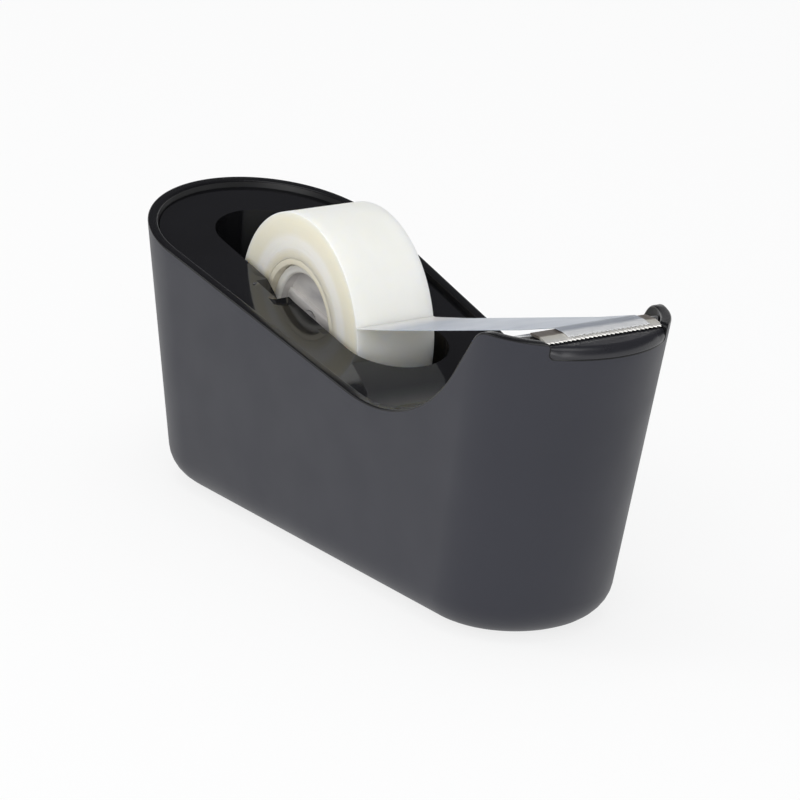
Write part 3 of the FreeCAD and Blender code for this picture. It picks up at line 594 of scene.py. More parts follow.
def side_rows(inset, sign):
    """Points just under the edge, going down the wall, for each column."""
    edge, per_mm, corner = side_samples(inset)
    ways = downward(edge, per_mm)
    feet = spread_feet(edge, per_mm, corner)
    crest = [Vector(on_wall(t, z, inset, sign)) for t, z in edge]
    under = [(t + w.x * SOFT * per_mm, z + w.y * SOFT) for (t, z), w in zip(edge, ways)]
    start = [Vector(on_wall(t, z, inset, sign)) for t, z in under]
    return crest, start, under, feet


# %% [markdown]
# Each column now gets the same list of points: the flat rim between two quarter rounds,
# the outer wall with the big rounding at the base, and the plain inner wall.

# %% Build the shell
BASE_ROUND, BASE_INSET = 7.2, 8.2
FLOOR_Z, FLOOR_INSET, PLATE_Z = 5.0, 11.2, 2.8
ROUND_STEPS, WALL_STEPS, RIM_STEPS = 8, 24, 5


def quarter(centre, first, last):
    """A quarter round of radius SOFT, from the direction first to the direction last."""
    return [tuple(centre + (first * math.cos(a) + last * math.sin(a)) * SOFT)
            for a in steps(0.0, math.pi / 2, RIM_STEPS)]


def shell_columns(sign):
    out_crest, out_start, out_under, out_feet = side_rows(0.0, sign)
    in_crest, in_start, in_under, in_feet = side_rows(WALL, sign)
    columns = []
    for k in range(len(out_crest)):
        foot = out_feet[k]
        column = [on_wall(foot, BASE_Z, BASE_INSET, sign)]
        for lift in steps(0.0, math.pi / 2, ROUND_STEPS):
            column.append(on_wall(foot, BASE_Z + BASE_ROUND * (1 - math.cos(lift)),
                                  BASE_ROUND * (1 - math.sin(lift)), sign))
        t0, z0 = out_under[k]
        low = BASE_Z + BASE_ROUND
        for share in steps(0.0, 1.0, WALL_STEPS)[1:-1]:
            column.append(on_wall(foot + (t0 - foot) * share ** 2,
                                  low + (z0 - low) * share, 0.0, sign))
        across = (in_crest[k] - out_crest[k]).normalized()
        down_out = (out_start[k] - out_crest[k]).normalized()
        down_in = (in_start[k] - in_crest[k]).normalized()
        column += quarter(out_crest[k] + (down_out + across) * SOFT, -across, -down_out)
        column += quarter(in_crest[k] + (down_in - across) * SOFT, -down_in, across)
        t1, z1 = in_under[k]
        for share in steps(0.0, 1.0, 8)[1:]:
            column.append(on_wall(t1 + (in_feet[k] - t1) * share ** 0.5,
                                  z1 + (FLOOR_Z - z1) * share, WALL, sign))
        for z, inset in ((FLOOR_Z, FLOOR_INSET), (PLATE_Z, FLOOR_INSET), (PLATE_Z, BASE_INSET)):
            column.append(on_wall(foot, z, inset, sign))
        columns.append(column)
    return columns


around = shell_columns(-1) + shell_columns(1)[-2:0:-1]
shell_rows = [[column[i] for column in around] for i in range(len(around[0]))]
shell_rows.append(shell_rows[0])
rim_from = ROUND_STEPS + WALL_STEPS + 2
rim_to = rim_from + 2 * RIM_STEPS
shell_skin = Skin()
shell_skin.patch(shell_rows[:rim_from], 0, closed=True)
shell_skin.patch(shell_rows[rim_from - 1:rim_to], 1, closed=True)
shell_skin.patch(shell_rows[rim_to - 1:], 2, closed=True)
print("shell:", len(around), "columns of", len(around[0]), "points")

# %% [markdown]
# The shell is moulded in black plastic with a fine satin grain, which scatters the studio
# into a soft grey, darker where the wall curves under.  The crest of its rim is smoother
# and reflects less, so it stays black, and the inside of the wall is left dull.  The full
# gloss is kept for the deck.

# %% Black plastics
satin = new_finish("satin_plastic", (0.015, 0.016, 0.025), 0.46)
mottle(satin, even(0.03), (0.014, 0.015, 0.024), (0.016, 0.017, 0.027))
shine(satin, even(0.012), 0.44, 0.50)
grain(satin, even(0.00035), 0.10, 0.00004, 2.0)

gloss = new_finish("gloss_plastic", (0.005, 0.005, 0.006), 0.08, Specular_IOR_Level=0.44)
mottle(gloss, even(0.02), (0.0045, 0.0045, 0.005), (0.006, 0.006, 0.007))
shine(gloss, even(0.006), 0.05, 0.11)
grain(gloss, even(0.004), 0.05, 0.00003, 1.0)

inner_black = new_finish("inner_plastic", (0.006, 0.006, 0.007), 0.36, Specular_IOR_Level=0.3)
shine(inner_black, even(0.006), 0.32, 0.42)
grain(inner_black, even(0.0004), 0.08, 0.00004, 2.0)

crest_black = new_finish("crest_plastic", (0.006, 0.006, 0.007), 0.24, Specular_IOR_Level=0.3)
shine(crest_black, even(0.006), 0.20, 0.28)
grain(crest_black, even(0.0004), 0.04, 0.00003, 2.0)

shell = make_piece("shell_housing", shell_skin, [satin, crest_black, inner_black])
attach(shell, "dispenser")
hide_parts("outer_shell")

# %% [markdown]
# The deck is a gloss inlay a little below the rim.  It carries the well that the roll hangs
# in, two leaning channels for the ends of the pin, and the ramp and ledge that hold the
# blade.  Only its near half is drawn, as patches, and then mirrored.  The seen surface is
# made first, and a thickness and soft edges are added afterwards.

# %% The deck's side line and the slot of the well
DECK_DROP, DECK_GAP, DECK_WALL = 1.3, 0.25, 1.6
DECK_IN = WALL + DECK_GAP
WELL_HALF, WELL_BACK, WELL_FRONT = 11.5, -53.2, -1.2
NOTCH_HALF = 14.3
AXLE_X, AXLE_Z = -24.4, 42.7
SEAT_R, CHANNEL_LEAN = 2.6, 28.0
KNEE_SHARE, LEAD_IN_TURN, FINE_STEP = 0.72, 25.0, 0.01
LEDGE_X, LEDGE_Z = 66.9, 65.75
STEP_X, STEP_Z = 71.3, 62.3

deck_dip = dip_corner(DECK_DROP)
ramp_x = ((LEDGE_Z - deck_dip[1] + deck_dip[0] * slope(RISE) - LEDGE_X * slope(RAMP))
          / (slope(RISE) - slope(RAMP)))
ramp_top = deck_dip[1] + (ramp_x - deck_dip[0]) * slope(RISE)
deck_line = side_line(DECK_DROP, [(ramp_x, ramp_top, 2.5), (LEDGE_X, LEDGE_Z, 4.0),
                                  (STEP_X, LEDGE_Z, 0.35), (STEP_X + 0.05, STEP_Z, 0.4),
                                  (PAST_END, STEP_Z, 0)])


def deck_z(x):
    return height_on(deck_line, x)


def flank_top(start):
    """Where a channel's flank, leaning up from start, comes through the deck."""
    for i in range(2000):
        point = start + along * i * FINE_STEP
        if point.y >= deck_z(point.x):
            break
    return point


lean = math.radians(CHANNEL_LEAN)
along = Vector((-math.sin(lean), math.cos(lean)))
out_of = Vector((math.cos(lean), math.sin(lean)))
axle = Vector((AXLE_X, AXLE_Z))
front_low, rear_low = axle + out_of * SEAT_R, axle - out_of * SEAT_R
front_top = flank_top(front_low)
knee = rear_low.lerp(flank_top(rear_low), KNEE_SHARE)
lead_way = Matrix.Rotation(math.radians(LEAD_IN_TURN), 2) @ along
rear_top = knee.copy()
while rear_top.y < deck_z(rear_top.x):
    rear_top = rear_top + lead_way * FINE_STEP
print("channel opens from x %.1f to %.1f mm" % (rear_top.x, front_top.x))

# %% [markdown]
# Stations run round the near half of the slot, from its back tip to its front tip.  A band
# of faces square to the slot's edge comes first, so that the edge can be rounded cleanly,
# and the notch of the channel is as deep as that band is wide.

# %% The deck's top
def on_edge(kind, value, half):
    """A station half millimetres out: on a straight side, or on an arc round kind."""
    if kind == "straight":
        return value, -half
    return kind + half * math.cos(value), -half * math.sin(value)


def band_row(kind, value):
    """Points from the slot's edge out to the edge of the band, on the deck."""
    spots = [on_edge(kind, value, half) for half in steps(WELL_HALF, NOTCH_HALF, 3)]
    return [(x, y, deck_z(x)) for x, y in spots]


def outer_row(x, z, start):
    return [(x, -y, z) for y in steps(start, half_width(x, z, DECK_IN), 6)]


back_arc = [(WELL_BACK, a) for a in steps(math.pi, math.pi / 2, 16)]
front_arc = [(WELL_FRONT, a) for a in steps(math.pi / 2, 0.0, 16)]
behind = [("straight", x) for x in steps(WELL_BACK, rear_top.x, 8)]
notch = [("straight", x) for x in steps(rear_top.x, front_top.x, 8)]
before = [("straight", x) for x in steps(front_top.x, WELL_FRONT, 10)]

deck = Skin()
deck.patch([band_row(*s) for s in back_arc + behind])
deck.patch([band_row(*s) for s in before + front_arc])

back_tip = BACK_TOP_X
for _ in range(SETTLE):
    centre, radius = plan(deck_z(back_tip), DECK_IN)[:2]
    back_tip = centre - radius
centre, radius = plan(STEP_Z, DECK_IN)[2:]
nose_tip = centre + radius
band_back, band_front = WELL_BACK - NOTCH_HALF, WELL_FRONT + NOTCH_HALF
rows = [[(back_tip, 0.0, deck_z(back_tip))] * 7]
for share in steps(0.0, 1.0, 10)[1:]:
    x = back_tip + (band_back - back_tip) * share ** 1.6
    rows.append(outer_row(x, deck_z(x), 0.0))
for station in back_arc[1:] + behind[1:] + notch[1:] + before[1:] + front_arc[1:]:
    x, y = on_edge(*station, NOTCH_HALF)
    rows.append(outer_row(x, deck_z(x), -y))
ahead = [p for p in deck_line if band_front + 0.5 < p[0] < nose_tip - 0.2]
rows += [outer_row(x, z, 0.0) for x, z in ahead]
for share in steps(0.0, 1.0, 10)[1:-1]:
    x = ahead[-1][0] + (nose_tip - ahead[-1][0]) * (1 - (1 - share) ** 1.8)
    rows.append(outer_row(x, STEP_Z, 0.0))
rows.append([(nose_tip, 0.0, STEP_Z)] * 7)
deck.patch(rows)
print("deck top:", len(rows), "lines across")

# %% [markdown]
# The well: its walls drop from the slot's edge, part round each channel, and turn into the
# floor with a soft corner.  The channel is a U with a round seat for the pin, and its back
# flank opens out near the top so that the pin is easy to drop in.

# %% The well and the channels
WELL_FLOOR, SOFT_FLOOR = 14.0, 2.0
UNDER_SEAT_BACK, UNDER_SEAT_FRONT = -32.0, -17.0
wall_foot = WELL_FLOOR + SOFT_FLOOR


def to_line(points, half):
    """Points of the side drawing, put half millimetres from the middle plane."""
    return [(p.x, -half, p.y) for p in points]


def arc_wall(arc, low_point):
    """Upright lines round one end of the well, as deep as the channel's low point."""
    depth = deck_z(low_point.x) - low_point.y
    spots = [on_edge(*station, WELL_HALF) for station in arc]
    return [[(x, y, deck_z(x) - drop) for drop in steps(0.0, depth, 5)] for x, y in spots]


rear_line = [rear_top, rear_top.lerp(knee, 0.5)] + [knee.lerp(rear_low, i / 3) for i in range(4)]
front_flank = [front_top.lerp(front_low, i / 5) for i in range(6)]
seat = [axle - out_of * SEAT_R * math.cos(a) - along * SEAT_R * math.sin(a)
        for a in steps(0.0, math.pi, 8)]
back_wall, front_wall = arc_wall(back_arc, rear_low), arc_wall(front_arc, front_low)
rear_block = between(back_wall[-1], to_line(rear_line, WELL_HALF), 8)
front_block = between(to_line(front_flank, WELL_HALF), front_wall[0], 10)
for wall in (back_wall, rear_block, front_wall, front_block):
    deck.patch(wall)

# the channel: flanks and seat, then its end wall above and below the chord
channel = rear_line + seat[1:-1] + front_flank[::-1]
chord = [rear_low.lerp(front_low, i / 8) for i in range(9)]
deck.patch(between(to_line(channel, WELL_HALF), to_line(channel, NOTCH_HALF), 3))
deck.patch(between(to_line(rear_line, NOTCH_HALF), to_line(front_flank, NOTCH_HALF), 8))
deck.patch(between(to_line(chord, NOTCH_HALF), to_line(seat, NOTCH_HALF), 2))

# the lower walls, from both blocks and the seat down to the foot
level = [line[-1] for line in back_wall + rear_block[1:]]
level += to_line(seat[1:], WELL_HALF)
level += [line[-1] for line in front_block[1:] + front_wall[1:]]
foot = [(*line[0][:2], wall_foot) for line in back_wall]
for first, last, count in ((WELL_BACK, UNDER_SEAT_BACK, 8), (UNDER_SEAT_BACK, UNDER_SEAT_FRONT, 8),
                           (UNDER_SEAT_FRONT, WELL_FRONT, 10)):
    foot += [(x, -WELL_HALF, wall_foot) for x in steps(first, last, count)[1:]]
foot += [(*line[0][:2], wall_foot) for line in front_wall[1:]]
deck.patch(between(level, foot, 5))


def drawn_in(point, amount):
    """A point of the foot moved towards the middle line of the well."""
    x, y = point[:2]
    if WELL_BACK <= x <= WELL_FRONT:
        return (x, y + amount)
    centre = WELL_BACK if x < WELL_BACK else WELL_FRONT
    scale = (WELL_HALF - amount) / WELL_HALF
    return (centre + (x - centre) * scale, y * scale)


corner_rows = []
for a in steps(0.0, math.pi / 2, 4):
    inward, z = SOFT_FLOOR * (1 - math.cos(a)), wall_foot - SOFT_FLOOR * math.sin(a)
    corner_rows.append([(*drawn_in(p, inward), z) for p in foot])
deck.patch(corner_rows)
deck.patch(between(corner_rows[-1], [(p[0], 0.0, p[2]) for p in corner_rows[-1]], 4))
deck.mirrored()

# %% [markdown]
# Solidify turns the seen surface into a moulding with a thickness, and a Bevel rounds the
# slot, the channels and the nose.  Weighted normals keep the flat faces flat between the
# rounded edges, which a mirror-like gloss shows at once.

# %% Thickness and soft edges of the deck
deck_piece = make_piece("deck_inlay", deck, [gloss], facing=(0, 0, 1))
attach(deck_piece, "dispenser")
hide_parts("top_deck")
thick = deck_piece.modifiers.new("thickness", "SOLIDIFY")
thick.thickness = DECK_WALL * MM
thick.offset = -1.0
thick.use_even_offset = False
soft = deck_piece.modifiers.new("soft_edges", "BEVEL")
soft.width = SOFT * MM
soft.segments = 3
soft.limit_method = "ANGLE"
soft.angle_limit = math.radians(40.0)
soft.miter_outer = "MITER_ARC"
weigh = deck_piece.modifiers.new("flat_faces", "WEIGHTED_NORMAL")
weigh.keep_sharp = True
deck_piece.data.set_sharp_from_angle(angle=math.radians(179.0))

# %% [markdown]
# Under the blade, the nose comes forward to fill the mouth of the shell.  Its face follows
# the shell's own curve, a little behind it, and its top runs back under the teeth, where it
# stays dark.

# %% Nose front
NOSE_HALF, NOSE_BACK, NOSE_LOW, NOSE_TOP = 13.6, 70.9, 62.66, 65.25
NOSE_GAP, NOSE_ROUND = 0.12, 2.0
nose_black = new_finish("nose_plastic", (0.017, 0.017, 0.021), 0.3)
shine(nose_black, even(0.006), 0.26, 0.34)
grain(nose_black, even(0.00035), 0.06, 0.00004, 2.0)


def nose_section(y):
    def front(z):
        centre, radius = plan(z, NOSE_GAP)[2:]
        return centre + math.sqrt(radius ** 2 - y ** 2)

    soft = min(NOSE_ROUND, (front(NOSE_LOW) - NOSE_BACK) * 0.45)
    section = [(NOSE_BACK, NOSE_LOW)] + [(front(z), z) for z in (NOSE_LOW, 62.9, MOUTH_Z)]
    for a in steps(0.0, math.pi / 2, 10):
        section.append((front(NOSE_TOP - soft) - soft * (1 - math.cos(a)),
                        NOSE_TOP - soft * (1 - math.sin(a))))
    return section + [(NOSE_BACK, NOSE_TOP)]


nose_rows = [[(x, y, z) for x, z in nose_section(y)]
             for y in (NOSE_HALF * math.sin(a) for a in steps(-math.pi / 2, math.pi / 2, 48))]
nose_piece = make_bar("nose_front", nose_rows, [nose_black], 60.0)
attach(nose_piece, "dispenser")

# %% [markdown]
# The roll: about a hundred turns of matte tape on a moulded core.  A lathe makes it, as a
# profile spun round the pin.  On the flat sides, each few turns stand a hair proud of or
# behind the next, so the profile has small steps, always the same ones.

# %% Lathe
def lathe(name, profile, finishes, spots=None, turns=192):
    """Spins a profile of (radius, y) round the pin's line, closed unless it is a rod's."""
    angles = [2 * math.pi * i / turns for i in range(turns)]
    rows = [[(AXLE_X + r * math.cos(a), y, AXLE_Z + r * math.sin(a)) for a in angles]
            for r, y in profile + (profile[:1] if profile[0][0] > 0 else [])]
    skin = Skin()
    for i in range(len(rows) - 1):
        skin.patch(rows[i:i + 2], spots[i] if spots else 0, closed=True)
    return make_piece(name, skin, finishes)


TAPE_HALF, ROLL_R, CORE_OUT, CORE_IN = 9.5, 24.0, 14.0, 12.7
RINGS, SLIP = 44, 0.035
wind = random.Random(7)
face_steps = [(r, wind.uniform(0.0, SLIP)) for r in steps(CORE_OUT, ROLL_R - 0.12, RINGS)]
near_face = [(r, -TAPE_HALF + s) for r, s in face_steps]
far_face = [(r, TAPE_HALF - s) for r, s in reversed(face_steps)]
tread = ([(ROLL_R - 0.03, -TAPE_HALF + 0.06)]
         + [(ROLL_R, y) for y in steps(-TAPE_HALF + 0.16, TAPE_HALF - 0.16, 10)]
         + [(ROLL_R - 0.03, TAPE_HALF - 0.06)])
roll_spots = [0] * RINGS + [1] * (len(tread) + 1) + [0] * (RINGS + 1)

# %% [markdown]
# Matte tape is a milky film.  Light enters it and spreads, so it gets a little subsurface
# scattering.  Seen from the side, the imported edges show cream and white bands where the
# winding was tighter or looser.  The distance from the pin picks the band.

# %% Tape finishes
WAXY = {"Subsurface_Weight": 0.7, "Subsurface_Radius": (1.0, 0.93, 0.72)}
tape_side = new_finish("tape_edges", (0.80, 0.78, 0.68), 0.55, Subsurface_Scale=0.005, **WAXY)
from_pin = add_node(tape_side, "ShaderNodeVectorMath", operation="LENGTH")
join(tape_side, own_place(tape_side, (1.0, 0.0, 1.0), (AXLE_X * MM, 0.0, AXLE_Z * MM)),
     from_pin.inputs[0])
fine = add_node(tape_side, "ShaderNodeTexNoise", noise_dimensions="1D")
fine.inputs["Scale"].default_value = 2600.0
fine.inputs["Detail"].default_value = 2.0
join(tape_side, from_pin.outputs["Value"], fine.inputs["W"])
ring = uneven(tape_side, from_pin.outputs["Value"], fine.outputs["Fac"], 0.0008)
to_colours(tape_side, spread(tape_side, ring, CORE_OUT * MM, (ROLL_R + 0.5) * MM),
           [(0.0, (0.78, 0.72, 0.55)), (0.12, (0.79, 0.73, 0.56)), (0.28, (0.85, 0.83, 0.77)),
            (0.45, (0.86, 0.84, 0.78)), (0.58, (0.82, 0.785, 0.66)), (0.86, (0.82, 0.785, 0.65)),
            (1.0, (0.77, 0.76, 0.69))])
to_bump(tape_side, fine.outputs["Fac"], 0.35, 0.00005)

tape_tread = new_finish("tape_face", (0.84, 0.84, 0.80), 0.5, Subsurface_Scale=0.006, **WAXY)
mottle(tape_tread, (60.0, 120.0, 60.0), (0.83, 0.83, 0.785), (0.86, 0.86, 0.825))
shine(tape_tread, even(0.01), 0.45, 0.56)
grain(tape_tread, (150.0, 2600.0, 150.0), 0.12, 0.00003)

roll_piece = lathe("tape_winding", near_face + tread + far_face, [tape_side, tape_tread],
                   roll_spots)
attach(roll_piece, "roll")
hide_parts("tape_roll")

# %% [markdown]
# The core is a smooth cream plastic ring.  Its edges are rounded, and it sits a hair inside
# the tape's faces.  A little light gets into pale plastic, so its shadows are soft.

# %% Core
def pale_plastic(name, roughness, colour, dark, light):
    finish = new_finish(name, colour, roughness, Subsurface_Weight=0.2,
                        Subsurface_Radius=(1.0, 0.93, 0.75), Subsurface_Scale=0.0008)
    mottle(finish, even(0.006), dark, light)
    grain(finish, even(0.0008), 0.1, 0.00004)
    return finish


def rounded_ring(inner, outer, half, soft_r):
    """Profile of a ring with rounded edges."""
    corners = [(inner, -half, 1, 1, 180), (outer, -half, -1, 1, 270), (outer, half, -1, -1, 0),
               (inner, half, 1, -1, 90)]
    profile = []
    for r, y, dr, dy, start in corners:
        for a in steps(math.radians(start), math.radians(start + 90.0), 4):
            profile.append((r + soft_r * (dr + math.cos(a)), y + soft_r * (dy + math.sin(a))))
    return profile


core_cream = pale_plastic("core_cream", 0.42, (0.77, 0.72, 0.58), (0.75, 0.70, 0.56),
                          (0.79, 0.74, 0.61))
core_piece = lathe("roll_core", rounded_ring(CORE_IN, CORE_OUT - 0.01, TAPE_HALF - 0.03, 0.12),
                   [core_cream])
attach(core_piece, "roll")
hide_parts("tape_core")

# %% [markdown]
# The hub's end caps close the core.  Each is a grey dish with a wide white rim, which
# stands a little behind the core's face, and one broad raised bar across it, which stiffens
# it round the bore.

# %% Hub caps
CAP_R, BORE_R = 12.6, 2.55
CAP_BACK, CAP_FACE, BAR_FACE, RIM_FACE = 3.75, 5.35, 6.45, 8.12
BAR_LONG, BAR_WIDE, BAR_TILT = 10.3, 3.5, math.radians(-12.0)
CAP_TURNS = 144
hub_grey = new_finish("hub_grey", (0.60, 0.58, 0.56), 0.34)
to_colours(hub_grey, noise(hub_grey, (90.0, 90.0, 260.0)),
           [(0.32, (0.44, 0.425, 0.43)), (0.5, (0.60, 0.58, 0.565)), (0.68, (0.68, 0.655, 0.63))])
shine(hub_grey, even(0.003), 0.28, 0.42)
grain(hub_grey, (2200.0, 300.0, 300.0), 0.15, 0.00004)
rim_white = pale_plastic("rim_white", 0.38, (0.88, 0.86, 0.80), (0.87, 0.85, 0.79),
                         (0.90, 0.885, 0.83))


def cap_profile(sign):
    """The back, the rim with its soft edges, and the dished face down to the bore."""
    rim = [(0.0, 0.27), (0.15, 0.07), (0.5, 0.0), (1.5, 0.02), (1.75, 0.22), (1.9, 0.62)]
    path = [(BORE_R, CAP_BACK), (CAP_R, CAP_BACK)]
    path += [(CAP_R - inward, RIM_FACE - below) for inward, below in rim]
    path += [(CAP_R - 2.1, CAP_FACE + 0.2), (CAP_R - 2.4, CAP_FACE), (8.0, CAP_FACE - 0.05),
             (4.6, CAP_FACE), (BORE_R, CAP_FACE)]
    return [(r, y * sign) for r, y in path]


def bar_skin(sign):
    """A flat bar with the bore through it, on the face of the cap."""
    def loop(reach_at, y):
        row = []
        for a in (2 * math.pi * i / CAP_TURNS for i in range(CAP_TURNS)):
            r = reach_at(a)
            row.append((AXLE_X + r * math.cos(a + BAR_TILT), y * sign,
                        AXLE_Z + r * math.sin(a + BAR_TILT)))
        return row

    def edge(shrink):
        return lambda a: min(BAR_LONG - shrink,
                             (BAR_WIDE - shrink) / max(abs(math.sin(a)), 1e-6))

    def bore(grow):
        return lambda a: BORE_R + grow

    rows = [loop(bore(0.0), CAP_FACE - 0.3), loop(bore(0.0), BAR_FACE - 0.15),
            loop(bore(0.15), BAR_FACE), loop(edge(0.3), BAR_FACE), loop(edge(0.1), BAR_FACE - 0.1),
            loop(edge(0.0), BAR_FACE - 0.3), loop(edge(0.0), CAP_FACE - 0.3)]
    skin = Skin()
    skin.patch(rows + rows[:1], closed=True)
    return skin


rim_spots = [0] * 2 + [1] * 5 + [0] * 6
for side_name, sign in (("near", -1), ("far", 1)):
    disc = lathe("hub_disc_" + side_name, cap_profile(sign), [hub_grey, rim_white], rim_spots,
                 CAP_TURNS)
    bar = make_piece("hub_bar_" + side_name, bar_skin(sign), [hub_grey])
    for made in (disc, bar):
        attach(made, "roll")
    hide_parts("hub_cap_" + side_name)

# %% [markdown]
# The pin is drawn steel rod with chamfered ends.  Its ends rest in the seats of the channels.

# %% Pin
PIN_R, PIN_HALF = 2.5, 14.0
steel_rod = new_finish("drawn_steel", (0.56, 0.56, 0.57), 0.28, Metallic=1.0)
shine(steel_rod, (900.0, 60.0, 900.0), 0.2, 0.38)
grain(steel_rod, (3000.0, 120.0, 3000.0), 0.2, 0.00002)
pin_end = [(0.0, PIN_HALF), (PIN_R - 0.35, PIN_HALF), (PIN_R - 0.1, PIN_HALF - 0.12),
           (PIN_R, PIN_HALF - 0.35)]
pin = lathe("axle_pin", [(r, -y) for r, y in pin_end] + pin_end[::-1], [steel_rod], turns=64)
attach(pin, "axle")
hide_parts("hub_axle")

# %% [markdown]
# The blade is pressed from thin steel.  It lies flat on the nose, bends down at the front
# and ends in a row of small teeth.  Its colour is painted dark on the flat part, a painted
# reflection of the dark room, and painted bright on the bent face, a painted highlight.
# Each tooth is pressed into a tiny ridge, which is why the row glitters.

# %% Blade
BLADE_HALF, TEETH, TOOTH_PITCH, SHEET = 13.3, 27, 1.0, 0.5
BLADE_BACK, BEND, LANDING_Z = 67.0, 70.5, 66.40
NOTCH_REACH, TOOTH_LONG, RIDGE = 2.05, 0.5, 0.14
blade_steel = new_finish("blade_steel_painted_sheen", (0.60, 0.57, 0.52), 0.4, Metallic=0.55)
# The ramp below paints the flat part dark as a painted reflection and the bent face bright as a
# painted highlight.
painted_sheen_place = uneven(blade_steel, along_x(blade_steel), noise(blade_steel, even(0.002)), 0.0006)
to_colours(blade_steel, spread(blade_steel, painted_sheen_place, (BEND - 0.8) * MM, (BEND + 3.0) * MM),
           [(0.0, (0.15, 0.125, 0.105)), (0.16, (0.20, 0.17, 0.14)), (0.30, (0.76, 0.73, 0.66)),
            (1.0, (0.86, 0.85, 0.82))])
shine(blade_steel, (120.0, 1800.0, 120.0), 0.3, 0.46)
grain(blade_steel, (150.0, 3200.0, 150.0), 0.25, 0.00002)


def tooth_share(y):
    """1 at a tooth's tip, 0 in the notch beside it."""
    place = ((y + BLADE_HALF) / TOOTH_PITCH) % 1.0
    return 1.0 - abs(place - 0.5) * 2.0


def blade_section(y):
    share = tooth_share(y)
    tip_x = BEND + NOTCH_REACH + TOOTH_LONG * share
    drop, flat, ridge = slope(14.0), LANDING_Z, RIDGE * share
    tip_z = flat - (tip_x - BEND) * drop
    top = [(BLADE_BACK + 0.15, flat), (68.2, flat), (69.8, flat), (BEND - 0.5, flat),
           (BEND, flat - 0.03), (BEND + 0.45, flat - 0.12),
           (BEND + 1.3, flat - 0.03 - 1.3 * drop), (tip_x - 0.15, tip_z - 0.10 + ridge)]
    tip = (tip_x, tip_z - 0.28 + ridge * 0.6)
    under = [(min(x, tip_x - 0.05), z - SHEET) for x, z in reversed(top[:-1])]
    return [(BLADE_BACK, flat - 0.25)] + top + [tip] + under


blade_rows = [[(x, y, z) for x, z in blade_section(y)]
              for y in steps(-BLADE_HALF, TEETH * TOOTH_PITCH - BLADE_HALF, TEETH * 4)]
blade_piece = make_bar("cutter_teeth", blade_rows, [blade_steel], 25.0)
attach(blade_piece, "dispenser")
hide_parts("cutter_blade")

# %% [markdown]
# The free length of tape leaves the roll's front, runs to the blade and lies over it to the
# teeth, where its end is cut in a zigzag.  It is a film about a tenth of a millimetre thick.
# Its root starts just inside the winding, so that no gap shows there.  It cups slightly
# across its width where nothing holds it, and it lies a little askew on the blade, as tape
# does that was torn by hand.  The milky film scatters light below its skin.  Its colour
# along its length is painted light and shade: painted lighter near the roll, where the
# roll's light would fall on it, painted shade over the dark deck and darker still over the
# blade's flat part, and painted lighter again over the blade's bent face.

# %% Tape strip
FILM_T, SKEW, CUP, CUP_RUN, ZIGZAG = 0.12, 1.5, 0.35, 12.0, 0.45
PEEL_Z, SINK = 48.2, 0.1
LANDING = (BLADE_BACK + 0.2, LANDING_Z + 0.22)
film = new_finish("matte_film", (0.42, 0.45, 0.51), 0.34, Subsurface_Weight=1.0,
                  Subsurface_Radius=(1.0, 1.0, 1.0), Subsurface_Scale=0.0005)
# The ramp below paints light and shade along the strip: lighter near the roll, painted shade over
# the deck and the blade's flat part, lighter over the bent face.
run = uneven(film, along_x(film), noise(film, (25.0, 260.0, 25.0)), 0.0009)
to_colours(film, spread(film, run, -2.0 * MM, 75.0 * MM),
           [(0.0, (0.80, 0.80, 0.77)), (0.05, (0.72, 0.72, 0.71)), (0.13, (0.54, 0.55, 0.58)),
            (0.21, (0.375, 0.41, 0.475)), (0.892, (0.375, 0.41, 0.475)), (0.905, (0.25, 0.27, 0.31)),
            (0.935, (0.25, 0.27, 0.31)), (0.95, (0.60, 0.61, 0.63)), (1.0, (0.66, 0.66, 0.67))])
shine(film, even(0.008), 0.3, 0.42)
grain(film, (120.0, 1200.0, 120.0), 0.12, 0.00003)

peel_angle = math.asin((PEEL_Z - AXLE_Z) / (ROLL_R + SINK))
root_x = AXLE_X + (ROLL_R - SINK) * math.cos(peel_angle)
root_z = AXLE_Z + (ROLL_R - SINK) * math.sin(peel_angle)
peeled = (root_x + 1.0, root_z + 0.05)
strip_line = [(root_x, root_z), (root_x + 0.3, root_z - 0.02), (root_x + 0.6, root_z)]
strip_line += [mix(peeled, LANDING, share) for share in steps(0.0, 1.0, 24)]
strip_line += [(BLADE_BACK + run_on, LANDING_Z + rise) for run_on, rise in
               ((0.7, 0.26), (2.0, 0.26), (3.0, 0.25), (3.55, 0.21), (4.1, 0.08), (4.9, -0.12),
                (5.5, -0.27))]


def strip_loop(i):
    """Loop round the film's section at one station: top from near to far, then back."""
    x, z = strip_line[i]
    held = BLADE_BACK + 1.0
    free = ramp_up(x, peeled[0], peeled[0] + CUP_RUN) * ramp_up(x, held, held - CUP_RUN)
    askew = SKEW * ramp_up(x, peeled[0], LANDING[0])
    top, low = [], []
    for y in steps(-TAPE_HALF, TAPE_HALF, 76):
        cup = -CUP * free * (y / TAPE_HALF) ** 2
        end = -ZIGZAG * (1.0 - tooth_share(y + askew)) if i == len(strip_line) - 1 else 0.0
        for side, half in ((top, FILM_T / 2), (low, -FILM_T / 2)):
            side.append((x + end, y + askew, z + cup + half - end * 0.3))
    return top + low[::-1]


strip_rows = [strip_loop(i) for i in range(len(strip_line))]
strip_skin = Skin()
strip_skin.patch(strip_rows, closed=True)
for row in (strip_rows[0], strip_rows[-1]):
    half = len(row) // 2
    strip_skin.patch([row[:half], row[:half - 1:-1]])
strip_piece = make_piece("tape_free_length", strip_skin, [film])
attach(strip_piece, "dispenser")
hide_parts("tape_strip")

# %% [markdown]
# Underneath, a foam rubber pad stands a little proud so that the dispenser doesn't slide.
# Its edges are soft and its skin has fine pores.

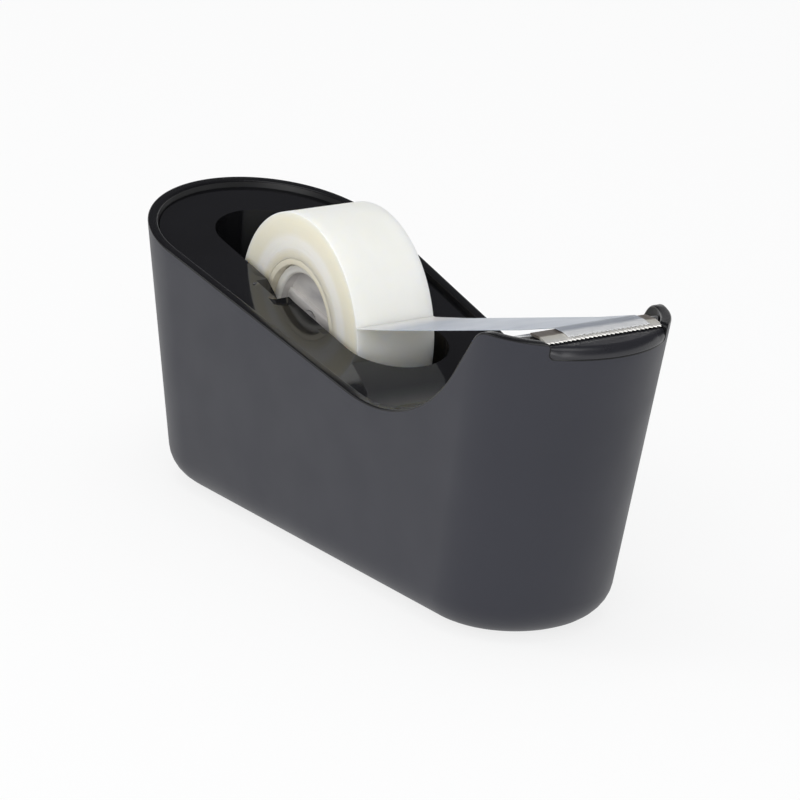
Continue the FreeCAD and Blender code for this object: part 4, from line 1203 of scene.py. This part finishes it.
# %% Pad
PLATE_GAP, PLATE_RIM, PAD_GAP, PAD_T = 0.25, 2.0, 0.2, 1.2
PAD_IN = BASE_INSET + PLATE_GAP + PLATE_RIM + PAD_GAP
pad_rubber = new_finish("pad_foam", (0.022, 0.022, 0.023), 0.85)
mottle(pad_rubber, even(0.0012), (0.014, 0.014, 0.015), (0.032, 0.032, 0.034))
grain(pad_rubber, even(0.0006), 0.5, 0.0002)


def pad_loop(z, inset):
    near, far = ([on_wall(t, BASE_Z, inset, sign) for t in steps(0.0, 1.0, 90)] for sign in (-1, 1))
    return [(x, y, z) for x, y, _ in near + far[-2:0:-1]]


pad_rows = [pad_loop(z, PAD_IN + soft) for z, soft in
            ((PAD_T, 0.3), (PAD_T - 0.1, 0.05), (PAD_T / 2, 0.0), (0.25, 0.05), (0.07, 0.25),
             (0.0, 0.6))]
pad_skin = Skin()
pad_skin.patch(pad_rows, closed=True)
for row in (pad_rows[0], pad_rows[-1]):
    half = len(row) // 2
    pad_skin.patch(between(row[:half + 1], [row[0]] + row[:half - 1:-1], 6))
pad_piece = make_piece("foam_pad", pad_skin, [pad_rubber])
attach(pad_piece, "dispenser")
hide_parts("anti_slip_pad")

# %% [markdown]
# The rest keeps its CAD shape and only gets a finish: the cast iron weights, the drum of
# the hub, the base plate and its screws.

# %% Finishes for the carried-over parts
cast_iron = new_finish("cast_iron", (0.10, 0.10, 0.10), 0.62, Metallic=0.8)
mottle(cast_iron, even(0.004), (0.07, 0.068, 0.066), (0.14, 0.135, 0.13))
grain(cast_iron, even(0.0009), 0.6, 0.0002)
plate_black = new_finish("plate_plastic", (0.03, 0.03, 0.032), 0.5)
shine(plate_black, even(0.008), 0.44, 0.56)
grain(plate_black, even(0.0005), 0.25, 0.00006)
zinc = new_finish("zinc_screw", (0.62, 0.62, 0.60), 0.3, Metallic=1.0)
shine(zinc, even(0.0012), 0.22, 0.42)
grain(zinc, even(0.0006), 0.2, 0.00002)

for node, finish in (("ballast_front", cast_iron), ("ballast_cradle", cast_iron),
                     ("hub_drum", hub_grey), ("base_plate", plate_black),
                     ("base_screws", zinc)):
    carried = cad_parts[node]
    if not carried.data.materials:
        carried.data.materials.append(finish)
    for place in carried.material_slots:
        place.link = "OBJECT"
        place.material = finish
    print(node, "finished with", finish.name)

# %% Measure and finish
made_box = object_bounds()
for name, box in (("CAD", cad_box), ("made", made_box)):
    print(name, [[round(c / MM, 2) for c in corner] for corner in box])
